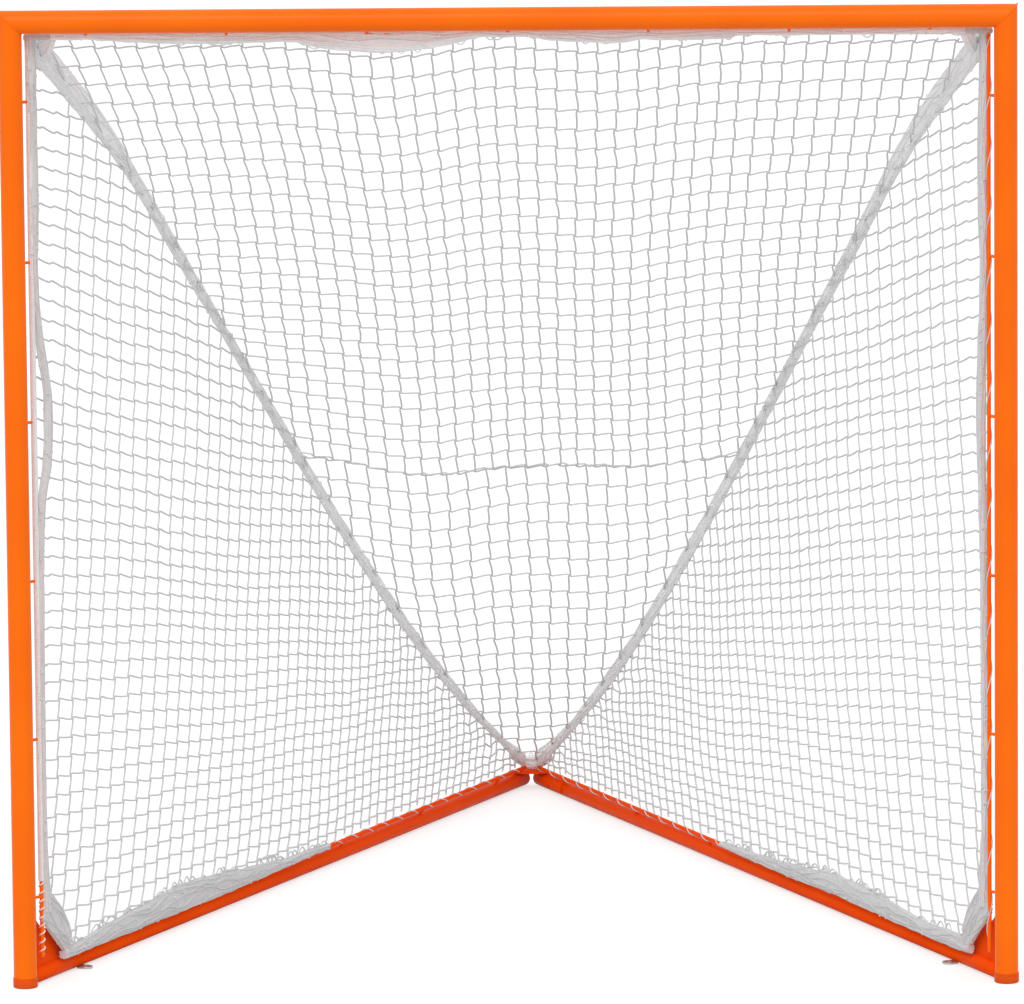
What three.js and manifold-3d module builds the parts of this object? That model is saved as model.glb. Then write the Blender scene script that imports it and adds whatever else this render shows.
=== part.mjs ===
// Lacrosse goal: a square mouth of welded steel tube, a V of two ground rails that meet behind it,
// thin lacing rods along every tube, and a three-sided net that hangs from the rods.
// Millimetres, +Z up. +Y runs back from the mouth to the apex of the rails, and +X to the right as
// a shooter sees it. Inside the group, places are measured from the ground midway between the axes
// of the posts. The group as a whole is centred on the origin, front to back.
import * as THREE from 'three';
import { mergeVertices } from 'three/addons/utils/BufferGeometryUtils.js';
import Module from 'manifold-3d';

// Mouth and base, the sizes that the game sets
const mouthWidth = 1829;
const mouthHeight = 1829;
const baseDepth = 2134;

// Steel tube
const postDiameter = 44.45;
const postWall = 2.1;
const railDiameter = 31.75;
const railWall = 1.65;

// Clearance between pieces that touch, and how far a cutter runs past what it cuts
const seatGap = 0.3;
const cutOverrun = 6;

// Lacing rods, held off the tubes by short lugs
const rodDiameter = 7.94;
const postRodGap = 18;
const baseRodGap = 12;
const lugDiameter = 6;

// Counts of facets on round pieces
const postSides = 32;
const railSides = 24;
const rodSides = 10;
const lugSides = 8;

const postRadius = postDiameter / 2;
const railRadius = railDiameter / 2;
const rodRadius = rodDiameter / 2;
const postOffset = mouthWidth / 2 + postRadius;
const crossbarHeight = mouthHeight + postRadius;

// The rails splay from the apex by this angle on each side of the Y axis
const splay = Math.atan2(postOffset, baseDepth);
const railAxisLength = Math.hypot(postOffset, baseDepth);

// A rod behind a post lies at 45 degrees, as far inward as it lies back
const postRodReach = postRadius + postRodGap + rodRadius;
const rodInset = postRodReach * Math.SQRT1_2;
const crossbarRodHeight = crossbarHeight - rodInset;

// Each side net hangs in an upright plane, parallel to its rail and a little inside it.
// Along that plane, places are measured from the axis of the post.
const netInset = rodInset * (Math.cos(splay) - Math.sin(splay));
const netStart = rodInset * (Math.cos(splay) + Math.sin(splay));
const netApex = (postOffset - netInset * Math.cos(splay)) / Math.sin(splay);
const baseRodReach = railRadius + baseRodGap + rodRadius;
const baseRodRise = Math.sqrt(baseRodReach ** 2 - netInset ** 2);
const baseRodHeight = railRadius + baseRodRise;

const orangePaint = new THREE.MeshStandardMaterial({ color: 0xf06010, roughness: 0.35, metalness: 0.1 });
const orangePlastic = new THREE.MeshStandardMaterial({ color: 0xe25508, roughness: 0.5, metalness: 0 });
const bareSteel = new THREE.MeshStandardMaterial({ color: 0x9a968f, roughness: 0.4, metalness: 0.9 });
const whiteNet = new THREE.MeshStandardMaterial({ color: 0xe9e9e6, roughness: 0.8, metalness: 0 });

const wasm = await Module();
wasm.setup();

// Turns a closed geometry into a solid that can be joined and cut
function toSolid(geometry) {
  const bare = geometry.clone();
  bare.deleteAttribute('normal');
  bare.deleteAttribute('uv');
  const merged = mergeVertices(bare);
  const vertProperties = Float32Array.from(merged.attributes.position.array);
  const triVerts = Uint32Array.from(merged.index.array);
  return new wasm.Manifold(new wasm.Mesh({ numProp: 3, vertProperties, triVerts }));
}

// Turns a solid back into a geometry
function toGeometry(solid) {
  const { vertProperties, triVerts } = solid.getMesh();
  const geometry = new THREE.BufferGeometry();
  geometry.setAttribute('position', new THREE.BufferAttribute(vertProperties, 3));
  geometry.setIndex(new THREE.BufferAttribute(triVerts, 1));
  geometry.computeVertexNormals();
  return geometry;
}

// Points of an arc about the origin, both ends included
function arc(radius, startTurn, endTurn, steps) {
  const points = [];
  for (let step = 0; step <= steps; step += 1) {
    const turn = startTurn + ((endTurn - startTurn) * step) / steps;
    points.push(new THREE.Vector2(radius * Math.cos(turn), radius * Math.sin(turn)));
  }
  return points;
}

function circle(radius, sides) {
  return arc(radius, 0, 2 * Math.PI, sides).slice(0, sides);
}

function extrude(shape, depth) {
  return new THREE.ExtrudeGeometry(shape, { depth, bevelEnabled: false, curveSegments: 6 });
}

// A round tube along +Z, open at both ends
function tube(radius, wall, length, sides) {
  const section = new THREE.Shape(circle(radius, sides));
  section.holes.push(new THREE.Path(circle(radius - wall, sides)));
  return extrude(section, length);
}

// Slopes the end faces of a tube along +Z, by a rise for each step in X
function mitreEnds(geometry, length, nearSlope, farSlope) {
  const places = geometry.attributes.position;
  for (let index = 0; index < places.count; index += 1) {
    const slope = places.getZ(index) < length / 2 ? nearSlope : farSlope;
    places.setZ(index, places.getZ(index) + slope * places.getX(index));
  }
  geometry.computeVertexNormals();
  return geometry;
}

// A solid bar along +Y that starts at the origin
function bar(radius, length, sides) {
  return new THREE.CylinderGeometry(radius, radius, length, sides).translate(0, length / 2, 0);
}

// A turned piece about +Y, from a profile of radius and place pairs that closes on itself or on the axis
function turned(profile, sides) {
  return new THREE.LatheGeometry(profile.map(([radius, place]) => new THREE.Vector2(radius, place)), sides);
}

function addMesh(parent, name, geometry, material) {
  const mesh = new THREE.Mesh(geometry, material);
  mesh.name = name;
  parent.add(mesh);
  return mesh;
}

// Turns a mesh so that its X and Y run along two given directions
function aim(mesh, xAxis, yAxis) {
  const zAxis = new THREE.Vector3().crossVectors(xAxis, yAxis);
  mesh.quaternion.setFromRotationMatrix(new THREE.Matrix4().makeBasis(xAxis, yAxis, zAxis));
}

// How far short of a bar's axis another bar ends, so that its rim clears the first by the seat gap
function buttTrim(ownRadius, otherRadius, angle) {
  return (otherRadius + seatGap + ownRadius * Math.cos(angle)) / Math.sin(angle);
}

const goal = new THREE.Group();

// Posts and crossbar: three tubes with mitred, welded corners
const mitreSetback = seatGap * Math.SQRT1_2;
const footCapFloor = 3;

function addPost(name, side) {
  const footLevel = footCapFloor + seatGap;
  const length = crossbarHeight - mitreSetback - footLevel;
  const geometry = mitreEnds(tube(postRadius, postWall, length, postSides), length, 0, side);
  addMesh(goal, name, geometry, orangePaint).position.set(side * postOffset, 0, footLevel);
}

function addCrossbar() {
  const length = 2 * (postOffset - mitreSetback);
  const geometry = mitreEnds(tube(postRadius, postWall, length, postSides), length, 1, -1);
  const crossbar = addMesh(goal, 'crossbar', geometry, orangePaint);
  crossbar.position.set(-length / 2, 0, crossbarHeight);
  crossbar.rotation.y = Math.PI / 2;
}

// Foot caps: moulded cups pressed over the posts' lower ends
const footCapHeight = 19;
const footCapWall = 1;
const footCapChamfer = 1.6;
const footCapRadius = postRadius + seatGap + footCapWall;

function addFootCap(name, side) {
  const boreRadius = postRadius + seatGap;
  const profile = [
    [0, 0],
    [footCapRadius - footCapChamfer, 0],
    [footCapRadius, footCapChamfer],
    [footCapRadius, footCapHeight],
    [boreRadius, footCapHeight],
    [boreRadius, footCapFloor],
    [0, footCapFloor],
  ];
  const cap = addMesh(goal, name, turned(profile, postSides), orangePlastic);
  cap.position.x = side * postOffset;
  cap.rotation.x = Math.PI / 2;
}

// A frame on one side of the goal: X runs back along the rail, Y up, and Z across it
function addSideFrame(side) {
  const along = new THREE.Vector3(-side * Math.sin(splay), Math.cos(splay), 0);
  const frame = new THREE.Group();
  frame.position.x = side * postOffset;
  aim(frame, along, new THREE.Vector3(0, 0, 1));
  goal.add(frame);
  return frame;
}

// Corner stubs: welded to the posts, with a turned-down spigot that the rail slides onto
const stubLength = 172;
const stubBore = 22.8;
const spigotLength = 90;
const spigotRadius = railRadius - railWall - seatGap;

// A stub along +X whose full-size end starts at the origin
function stub(length) {
  const end = length + spigotLength;
  const profile = [
    [stubBore / 2, 0],
    [railRadius, 0],
    [railRadius, length],
    [spigotRadius, length],
    [spigotRadius, end],
    [stubBore / 2, end],
    [stubBore / 2, 0],
  ];
  return turned(profile, railSides).rotateZ(-Math.PI / 2);
}

// Lock screws: each pins a rail to the spigot inside it, from the outer side
const screwDiameter = 6;
const screwHeadDiameter = 11;
const screwHeadHeight = 3.2;
const screwTipReach = 2;
const cornerScrewPlace = 45;
const apexScrewPlace = 72;

// A drill that opens the outer wall of a tube along X at the given place
function screwDrill(place, side) {
  const drill = bar(screwDiameter / 2 + seatGap, railRadius + cutOverrun, lugSides);
  return toSolid(drill.rotateX((side * Math.PI) / 2).translate(place, 0, 0));
}

function addLockScrew(frame, name, side, place) {
  const seat = railRadius + seatGap;
  const profile = [
    [0, stubBore / 2 - screwTipReach],
    [screwDiameter / 2, stubBore / 2 - screwTipReach],
    [screwDiameter / 2, seat],
    [screwHeadDiameter / 2, seat],
    [screwHeadDiameter / 2, seat + screwHeadHeight / 2],
    [screwHeadDiameter / 3, seat + screwHeadHeight],
    [0, seat + screwHeadHeight],
  ];
  const screw = addMesh(frame, name, turned(profile, rodSides), bareSteel);
  screw.position.set(place, railRadius, 0);
  screw.rotation.x = (side * Math.PI) / 2;
}

function addCornerStub(frame, name, side) {
  const postCutter = bar(postRadius + seatGap, railDiameter + 2 * cutOverrun, postSides);
  const capCutter = bar(footCapRadius + seatGap, footCapHeight + seatGap + cutOverrun, postSides);
  const solid = toSolid(stub(stubLength))
    .subtract(toSolid(postCutter.translate(0, -railRadius - cutOverrun, 0)))
    .subtract(toSolid(capCutter.translate(0, -railRadius - cutOverrun, 0)))
    .subtract(screwDrill(stubLength + cornerScrewPlace, side));
  addMesh(frame, name, toGeometry(solid), orangePaint).position.y = railRadius;
}

// Ground rails. The left one runs to the apex, and the right one stops short, at the apex stub.
const apexSlit = 6;
const endCapFlange = 3;
const apexStubLength = 93;
const railSetback = (railRadius * Math.cos(splay) + apexSlit / 2) / Math.sin(splay);
const railRear = railAxisLength - railSetback - endCapFlange - seatGap;
const railFront = stubLength + seatGap;
const apexJoint = railRear - apexStubLength;

function addRail(frame, name, side, rear, screwPlaces) {
  const length = rear - railFront;
  let solid = toSolid(tube(railRadius, railWall, length, railSides).rotateY(Math.PI / 2));
  screwPlaces.forEach((place) => {
    solid = solid.subtract(screwDrill(place - railFront, side));
  });
  addMesh(frame, name, toGeometry(solid), orangePaint).position.set(railFront, railRadius, 0);
}

function addApexStub(frame, side) {
  const solid = toSolid(stub(apexStubLength)).subtract(screwDrill(apexStubLength + apexScrewPlace, -side));
  const mesh = addMesh(frame, 'right_apex_stub', toGeometry(solid), orangePaint);
  mesh.position.set(railRear, railRadius, 0);
  mesh.rotation.y = Math.PI;
}

// End caps close the tubes at the apex
const endCapSkirt = 14;
const endCapWall = 1.5;

function addEndCap(frame, name, boreRadius) {
  const skirtRadius = boreRadius - seatGap;
  const profile = [
    [0, 0],
    [railRadius, 0],
    [railRadius, -endCapFlange],
    [skirtRadius, -endCapFlange],
    [skirtRadius, -endCapFlange - endCapSkirt],
    [skirtRadius - endCapWall, -endCapFlange - endCapSkirt],
    [skirtRadius - endCapWall, -endCapFlange],
    [0, -endCapFlange],
  ];
  const cap = addMesh(frame, name, turned(profile.reverse(), railSides), orangePlastic);
  cap.position.set(railRear + seatGap + endCapFlange, railRadius, 0);
  cap.rotation.z = -Math.PI / 2;
}

// Saddle: a strap bent over the rail's end at the apex joint, open underneath
const saddleLength = 55;
const saddleWall = 1.6;
const saddleLowTurn = -Math.PI / 6;
const saddleSteps = 14;

function addSaddle(frame) {
  const boreRadius = railRadius + seatGap;
  const outer = arc(boreRadius + saddleWall, saddleLowTurn, Math.PI - saddleLowTurn, saddleSteps);
  const inner = arc(boreRadius, Math.PI - saddleLowTurn, saddleLowTurn, saddleSteps);
  const geometry = extrude(new THREE.Shape([...outer, ...inner]), saddleLength).rotateY(Math.PI / 2);
  const saddle = addMesh(frame, 'right_rail_saddle', geometry, orangePaint);
  saddle.position.set(apexJoint - saddleLength, railRadius, 0);
}

// Corner gussets: flat plates on edge between post and rail, with a hollowed upper edge
const gussetThickness = 5;
const gussetSetback = 4;
const gussetHeight = 118;
const gussetNose = 6;
const gussetShoulderLengthShare = 0.46;
const gussetShoulderHeightShare = 0.565;

function addGusset(frame, name) {
  const front = postRadius + seatGap;
  const foot = railDiameter + seatGap;
  const length = stubLength - gussetSetback - front;
  const shoulderPlace = front + length * gussetShoulderLengthShare;
  const shoulderLevel = foot + gussetHeight * gussetShoulderHeightShare;
  const shape = new THREE.Shape();
  shape.moveTo(front, foot);
  shape.lineTo(front + length, foot);
  shape.lineTo(front + length, foot + gussetNose);
  shape.lineTo(shoulderPlace, shoulderLevel);
  shape.quadraticCurveTo((front + shoulderPlace) / 2, shoulderLevel, front, foot + gussetHeight);
  shape.closePath();
  const geometry = extrude(shape, gussetThickness).translate(0, 0, -gussetThickness / 2);
  addMesh(frame, name, geometry, orangePaint);
}

// Anchor tabs: ears on the ground inside the rails, drilled for a stake
const tabLead = 33;
const tabThickness = 4;
const tabWidth = 26;
const tabReach = 27;
const tabHole = 9;
const tabSteps = 12;

function addAnchorTab(frame, name, side) {
  const railEdge = Math.sqrt(railRadius ** 2 - (railRadius - tabThickness) ** 2) + seatGap;
  const end = arc(tabWidth / 2, 0, Math.PI, tabSteps);
  end.forEach((point) => {
    point.y += railEdge + tabReach - tabWidth / 2;
  });
  const corners = [new THREE.Vector2(-tabWidth / 2, railEdge), new THREE.Vector2(tabWidth / 2, railEdge)];
  const shape = new THREE.Shape([...corners, ...end]);
  const hole = circle(tabHole / 2, tabSteps);
  hole.forEach((point) => {
    point.y += railEdge + tabReach - tabWidth / 2;
  });
  shape.holes.push(new THREE.Path(hole));
  const tab = addMesh(frame, name, extrude(shape, tabThickness), bareSteel);
  tab.position.x = stubLength + tabLead;
  aim(tab, new THREE.Vector3(side, 0, 0), new THREE.Vector3(0, 0, -side));
}

// Apex plate: bridges the two tube ends from above
const apexPlateThickness = 5;
const apexPlateFrontWidth = 78;
const apexPlateRearWidth = 58;
const apexPlateLength = 50;
const apexPlateRound = 8;

// A shape through the given corners, each rounded off by a curve of the given size
function roundedShape(corners, round) {
  const shape = new THREE.Shape();
  corners.forEach((corner, index) => {
    const before = corners[(index + corners.length - 1) % corners.length];
    const after = corners[(index + 1) % corners.length];
    const start = corner.clone().add(before.clone().sub(corner).setLength(round));
    const end = corner.clone().add(after.clone().sub(corner).setLength(round));
    if (index === 0) shape.moveTo(start.x, start.y);
    else shape.lineTo(start.x, start.y);
    shape.quadraticCurveTo(corner.x, corner.y, end.x, end.y);
  });
  shape.closePath();
  return shape;
}

function addApexPlate() {
  const rear = baseDepth - railSetback * Math.cos(splay);
  const front = rear - apexPlateLength;
  const corners = [
    new THREE.Vector2(-apexPlateFrontWidth / 2, front),
    new THREE.Vector2(apexPlateFrontWidth / 2, front),
    new THREE.Vector2(apexPlateRearWidth / 2, rear),
    new THREE.Vector2(-apexPlateRearWidth / 2, rear),
  ];
  const geometry = extrude(roundedShape(corners, apexPlateRound), apexPlateThickness);
  addMesh(goal, 'apex_plate', geometry, orangePaint).position.z = railDiameter + seatGap;
}

// Lacing rods
const rodFoot = 52;
const cornerRodRise = 84;
const cornerRodRun = 100;
const baseRodLead = 15;
const firstLug = 118;
const postLugCount = 6;
const baseLugCount = 6;
const crossbarLugCount = 7;

// Even places along a rod, from its first lug to its last
function lugPlaces(first, last, count) {
  const places = [];
  for (let index = 0; index < count; index += 1) {
    places.push(first + ((last - first) * index) / (count - 1));
  }
  return places;
}

// A rod along +Y with lugs that reach along +X
function luggedRod(length, lugReach, places) {
  let solid = toSolid(bar(rodRadius, length, rodSides));
  places.forEach((place) => {
    const lug = bar(lugDiameter / 2, lugReach, lugSides).rotateZ(-Math.PI / 2).translate(0, place, 0);
    solid = solid.add(toSolid(lug));
  });
  return toGeometry(solid);
}

function addPostRod(name, side) {
  const length = crossbarRodHeight - rodRadius - seatGap - rodFoot;
  const reach = postRodReach - postRadius - seatGap;
  const places = lugPlaces(firstLug, length - firstLug, postLugCount);
  const rod = addMesh(goal, name, luggedRod(length, reach, places), orangePaint);
  rod.position.set(side * (postOffset - rodInset), rodInset, rodFoot);
  aim(rod, new THREE.Vector3(side * Math.SQRT1_2, -Math.SQRT1_2, 0), new THREE.Vector3(0, 0, 1));
}

function addCrossbarRod() {
  const length = 2 * (postOffset - rodInset + rodDiameter);
  const reach = postRodReach - postRadius - seatGap;
  const places = lugPlaces(firstLug, length - firstLug, crossbarLugCount);
  const rod = addMesh(goal, 'crossbar_lacing_rod', luggedRod(length, reach, places), orangePaint);
  rod.position.set(-length / 2, rodInset, crossbarRodHeight);
  aim(rod, new THREE.Vector3(0, -Math.SQRT1_2, Math.SQRT1_2), new THREE.Vector3(1, 0, 0));
}

// The diagonal of the net's cut front corner, from the post rod down to the base rod
const cornerRodAngle = Math.atan2(cornerRodRise, cornerRodRun);
const cornerRodTop = baseRodHeight + cornerRodRise;
const cornerRodEnd = netStart + cornerRodRun;

function addBaseRod(frame, name, side) {
  const start = cornerRodEnd - baseRodLead;
  const rear = netApex - (rodRadius + seatGap) / Math.sin(splay);
  const length = rear - start;
  const reach = baseRodGap + rodRadius - seatGap;
  const lastLug = apexJoint - saddleLength - lugDiameter - start;
  const places = lugPlaces(firstLug, lastLug, baseLugCount);
  const rod = addMesh(frame, name, luggedRod(length, reach, places), orangePaint);
  rod.position.set(start, baseRodHeight, -side * netInset);
  const towardsRail = new THREE.Vector3(0, -baseRodRise, side * netInset).normalize();
  aim(rod, towardsRail, new THREE.Vector3(1, 0, 0));
}

function addCornerRod(frame, name, side) {
  const topTrim = buttTrim(rodRadius, rodRadius, Math.PI / 2 - cornerRodAngle);
  const footTrim = buttTrim(rodRadius, rodRadius, cornerRodAngle);
  const down = new THREE.Vector3(Math.cos(cornerRodAngle), -Math.sin(cornerRodAngle), 0);
  const length = Math.hypot(cornerRodRun, cornerRodRise) - topTrim - footTrim;
  const rod = addMesh(frame, name, bar(rodRadius, length, rodSides), orangePaint);
  rod.position.set(netStart, cornerRodTop, -side * netInset).addScaledVector(down, topTrim);
  aim(rod, new THREE.Vector3(0, 0, 1), down);
}

// Seam cords: thick cords down the two slanting edges, where back net and side nets are sewn together.
// Each leaves the crossbar a little above the straight line to the apex, crosses it, and sags below it.
const seamDiameter = 14;
const seamSides = 10;
const seamSteps = 14;
const seamSag = 88;
const seamCrossShare = 0.27;
const seamRadius = seamDiameter / 2;
const seamFall = crossbarRodHeight - baseRodHeight;
const seamRun = netApex - netStart;
const seamLowShare = (1 + seamCrossShare + Math.sqrt(1 - seamCrossShare + seamCrossShare ** 2)) / 3;

// The sag's shape along the seam: zero at both ends and where it crosses the straight line
function seamSwing(share) {
  return share * (1 - share) * (share - seamCrossShare);
}

// A seam in its side net's plane, from the crossbar down to the apex
class SeamCurve extends THREE.Curve {
  getPoint(share, target = new THREE.Vector3()) {
    const sag = (seamSag * seamSwing(share)) / seamSwing(seamLowShare);
    return target.set(netStart + seamRun * share, crossbarRodHeight - seamFall * share - sag, 0);
  }
}

const seamCurve = new SeamCurve();
const seamPoints = seamCurve.getSpacedPoints(seamSteps);

// A block that cuts a seam off square at one end, by the given trim along its first stretch
function seamCutter(end, next, trim) {
  const along = next.clone().sub(end).normalize();
  const block = new THREE.BoxGeometry(2 * trim, 2 * seamDiameter, 2 * seamDiameter);
  block.rotateZ(Math.atan2(along.y, along.x));
  return toSolid(block.translate(end.x, end.y, 0));
}

function addSeamCord(frame, name, side) {
  const [top, afterTop] = seamPoints;
  const [beforeRear, rear] = seamPoints.slice(-2);
  const topTrim = buttTrim(seamRadius, rodRadius, Math.atan2(afterTop.x - top.x, top.y - afterTop.y));
  const rearAngle = Math.atan2(beforeRear.y - rear.y, rear.x - beforeRear.x);
  const rearTrim = (seamRadius + rodRadius + seatGap) / Math.sin(rearAngle);
  const section = new THREE.Shape(circle(seamRadius, seamSides));
  const cord = new THREE.ExtrudeGeometry(section, { steps: seamSteps, extrudePath: seamCurve });
  const solid = toSolid(cord)
    .subtract(seamCutter(top, afterTop, topTrim))
    .subtract(seamCutter(rear, beforeRear, rearTrim));
  addMesh(frame, name, toGeometry(solid), whiteNet).position.z = -side * netInset;
}

// Nets: knotted square mesh with a gathered band along every edge. The meshes are drawn several
// times their real size, so that each net has few enough of them to be one light solid.
const netThickness = 4;
const netStrand = 4;
const netColumns = 15;
const netRows = 15;
const topBand = 30;
const postBand = 16;
const seamBand = 12;
const baseBand = 28;
const smallestMeshShare = 0.06;

// Where two lines cross, each given by a point and a direction
function crossing(first, second) {
  const offset = second.point.clone().sub(first.point);
  const reach = offset.cross(second.along) / first.along.cross(second.along);
  return first.point.clone().addScaledVector(first.along, reach);
}

// Moves each side of an outline inward by its own distance. The outline runs anticlockwise.
function insetOutline(points, distances) {
  const lines = points.map((point, index) => {
    const along = points[(index + 1) % points.length].clone().sub(point).normalize();
    const inward = new THREE.Vector2(-along.y, along.x);
    return { point: point.clone().addScaledVector(inward, distances[index]), along };
  });
  return lines.map((line, index) => crossing(lines[(index + lines.length - 1) % lines.length], line));
}

// The part of an outline that lies inside a convex region, both anticlockwise
function clipOutline(points, region) {
  let kept = points;
  region.forEach((corner, index) => {
    const along = region[(index + 1) % region.length].clone().sub(corner);
    const side = (point) => along.cross(point.clone().sub(corner));
    const result = [];
    kept.forEach((point, place) => {
      const before = kept[(place + kept.length - 1) % kept.length];
      const crosses = side(point) * side(before) < 0;
      if (crosses) result.push(before.clone().lerp(point, side(before) / (side(before) - side(point))));
      if (side(point) >= 0) result.push(point);
    });
    kept = result;
  });
  return kept;
}

// A net: the part of a sheet that lies inside the outline when seen along Z, opened by its meshes
// inside the bands. The cutters reach equally far above and below the XY plane.
function net(whole, outline, bands, reach) {
  const region = insetOutline(outline, bands);
  const box = new THREE.Box2().setFromPoints(outline);
  const size = box.getSize(new THREE.Vector2());
  const pitch = new THREE.Vector2(size.x / netColumns, size.y / netRows);
  const smallestArea = pitch.x * pitch.y * smallestMeshShare;
  let sheet = whole.intersect(toSolid(extrude(new THREE.Shape(outline), 2 * reach).translate(0, 0, -reach)));
  for (let column = 0; column < netColumns; column += 1) {
    for (let row = 0; row < netRows; row += 1) {
      const left = box.min.x + column * pitch.x + netStrand / 2;
      const right = left + pitch.x - netStrand;
      const low = box.min.y + row * pitch.y + netStrand / 2;
      const high = low + pitch.y - netStrand;
      const corners = [[left, low], [right, low], [right, high], [left, high]];
      const mesh = clipOutline(region, corners.map(([x, y]) => new THREE.Vector2(x, y)));
      if (mesh.length > 2 && THREE.ShapeUtils.area(mesh) > smallestArea) {
        const opening = extrude(new THREE.Shape(mesh), 2 * reach);
        sheet = sheet.subtract(toSolid(opening.translate(0, 0, -reach)));
      }
    }
  }
  return toGeometry(sheet);
}

function addSideNet(frame, name, side) {
  const axes = [
    new THREE.Vector2(cornerRodEnd, baseRodHeight),
    ...seamPoints.map((point) => new THREE.Vector2(point.x, point.y)).reverse(),
    new THREE.Vector2(netStart, cornerRodTop),
  ];
  const eachStep = (distance) => new Array(seamSteps).fill(distance);
  const rodEdge = rodRadius + seatGap;
  const outline = insetOutline(axes, [rodEdge, ...eachStep(seamRadius + seatGap), rodEdge, rodEdge]);
  const sheet = extrude(new THREE.Shape(outline), netThickness).translate(0, 0, -netThickness / 2);
  const bands = [baseBand, ...eachStep(seamBand), postBand, postBand];
  const geometry = net(toSolid(sheet), outline, bands, netThickness);
  addMesh(frame, name, geometry, whiteNet).position.z = -side * netInset;
}

// The back net hangs between the seams, level from one to the other, so it sags as they do
function addBackNet() {
  const halfWidth = postOffset - rodInset;
  const setback = netInset * Math.sin(splay);
  const side = seamPoints.map(({ x, y }) => new THREE.Vector2(x * Math.cos(splay) - setback, y));
  const [front, rear] = [side[0], side[seamSteps]];
  const halfThick = new THREE.Vector2(front.y - rear.y, rear.x - front.x).setLength(netThickness / 2);
  const upper = side.map((point) => point.clone().add(halfThick));
  const lower = side.map((point) => point.clone().sub(halfThick));
  const sheet = extrude(new THREE.Shape([...lower, ...upper.reverse()]), 2 * halfWidth);
  sheet.translate(0, 0, -halfWidth);
  const [right, back, up] = [[1, 0, 0], [0, 1, 0], [0, 0, 1]].map((axis) => new THREE.Vector3(...axis));
  sheet.applyMatrix4(new THREE.Matrix4().makeBasis(back, up, right));
  const axes = [
    new THREE.Vector2(-halfWidth, front.x),
    new THREE.Vector2(halfWidth, front.x),
    new THREE.Vector2(0, rear.x),
  ];
  const seamEdge = seamRadius + seatGap;
  const outline = insetOutline(axes, [rodRadius + seatGap, seamEdge, seamEdge]);
  const geometry = net(toSolid(sheet), outline, [topBand, seamBand, seamBand], mouthHeight);
  addMesh(goal, 'back_net', geometry, whiteNet);
}

addCrossbar();
addCrossbarRod();
addApexPlate();
addBackNet();

[['left', -1], ['right', 1]].forEach(([name, side]) => {
  const frame = addSideFrame(side);
  const cornerScrew = stubLength + cornerScrewPlace;
  const apexScrew = apexJoint - apexScrewPlace;
  addPost(`${name}_post`, side);
  addFootCap(`${name}_foot_cap`, side);
  addPostRod(`${name}_post_lacing_rod`, side);
  addCornerStub(frame, `${name}_corner_stub`, side);
  addLockScrew(frame, `${name}_rail_lock_screw`, side, cornerScrew);
  addGusset(frame, `${name}_corner_gusset`);
  addAnchorTab(frame, `${name}_anchor_tab`, side);
  addBaseRod(frame, `${name}_base_lacing_rod`, side);
  addCornerRod(frame, `${name}_corner_lacing_rod`, side);
  addSeamCord(frame, `${name}_seam_cord`, side);
  addSideNet(frame, `${name}_side_net`, side);
  if (side < 0) {
    addRail(frame, 'left_base_rail', side, railRear, [cornerScrew]);
    addEndCap(frame, 'left_rail_end_cap', railRadius - railWall);
  } else {
    addRail(frame, 'right_base_rail', side, apexJoint - seatGap, [cornerScrew, apexScrew]);
    addSaddle(frame);
    addApexStub(frame, side);
    addLockScrew(frame, 'apex_lock_screw', side, apexScrew);
    addEndCap(frame, 'right_apex_end_cap', stubBore / 2);
  }
});

// Moves the whole goal so that the origin lies on the ground under the middle of its length
const rearReach = baseDepth - railSetback * Math.cos(splay) + railRadius * Math.sin(splay);
goal.position.y = (footCapRadius - rearReach) / 2;

export default goal;
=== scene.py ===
import math

import bmesh
import bpy
from mathutils import Matrix, Vector, noise


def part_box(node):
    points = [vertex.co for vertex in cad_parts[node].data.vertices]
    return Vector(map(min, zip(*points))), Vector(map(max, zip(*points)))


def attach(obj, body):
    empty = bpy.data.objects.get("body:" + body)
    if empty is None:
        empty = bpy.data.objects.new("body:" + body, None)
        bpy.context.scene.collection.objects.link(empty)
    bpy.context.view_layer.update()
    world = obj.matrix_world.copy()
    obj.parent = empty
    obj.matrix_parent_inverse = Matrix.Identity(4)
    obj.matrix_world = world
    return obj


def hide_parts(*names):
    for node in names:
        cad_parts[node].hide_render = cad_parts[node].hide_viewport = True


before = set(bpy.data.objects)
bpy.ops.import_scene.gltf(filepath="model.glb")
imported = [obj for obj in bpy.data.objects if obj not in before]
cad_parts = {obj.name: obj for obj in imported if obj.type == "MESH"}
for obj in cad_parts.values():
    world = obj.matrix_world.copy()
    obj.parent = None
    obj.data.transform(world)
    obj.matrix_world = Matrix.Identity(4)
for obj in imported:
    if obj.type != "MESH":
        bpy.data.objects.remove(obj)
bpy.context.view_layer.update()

# Camera: it stands some eighteen metres in front of the mouth, a little to the right of its middle
# and above the crossbar, and looks slightly down. A long lens keeps the posts nearly upright.
camera_place = Vector((0.3280, -19.3370, 3.7709))
camera_yaw, camera_pitch, camera_roll = [math.radians(turn) for turn in (-1.0236, 8.8172, -0.5089)]
camera_lens = 343.63
sensor_width = 36
camera_reach = 100

forward = Vector((math.sin(camera_yaw) * math.cos(camera_pitch),
                  math.cos(camera_yaw) * math.cos(camera_pitch), -math.sin(camera_pitch)))
level_right = Vector((math.cos(camera_yaw), -math.sin(camera_yaw), 0))
level_up = level_right.cross(forward)
image_right = level_right * math.cos(camera_roll) + level_up * math.sin(camera_roll)
image_up = level_up * math.cos(camera_roll) - level_right * math.sin(camera_roll)
camera_turn = Matrix((image_right, image_up, -forward)).transposed().to_4x4()

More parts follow.
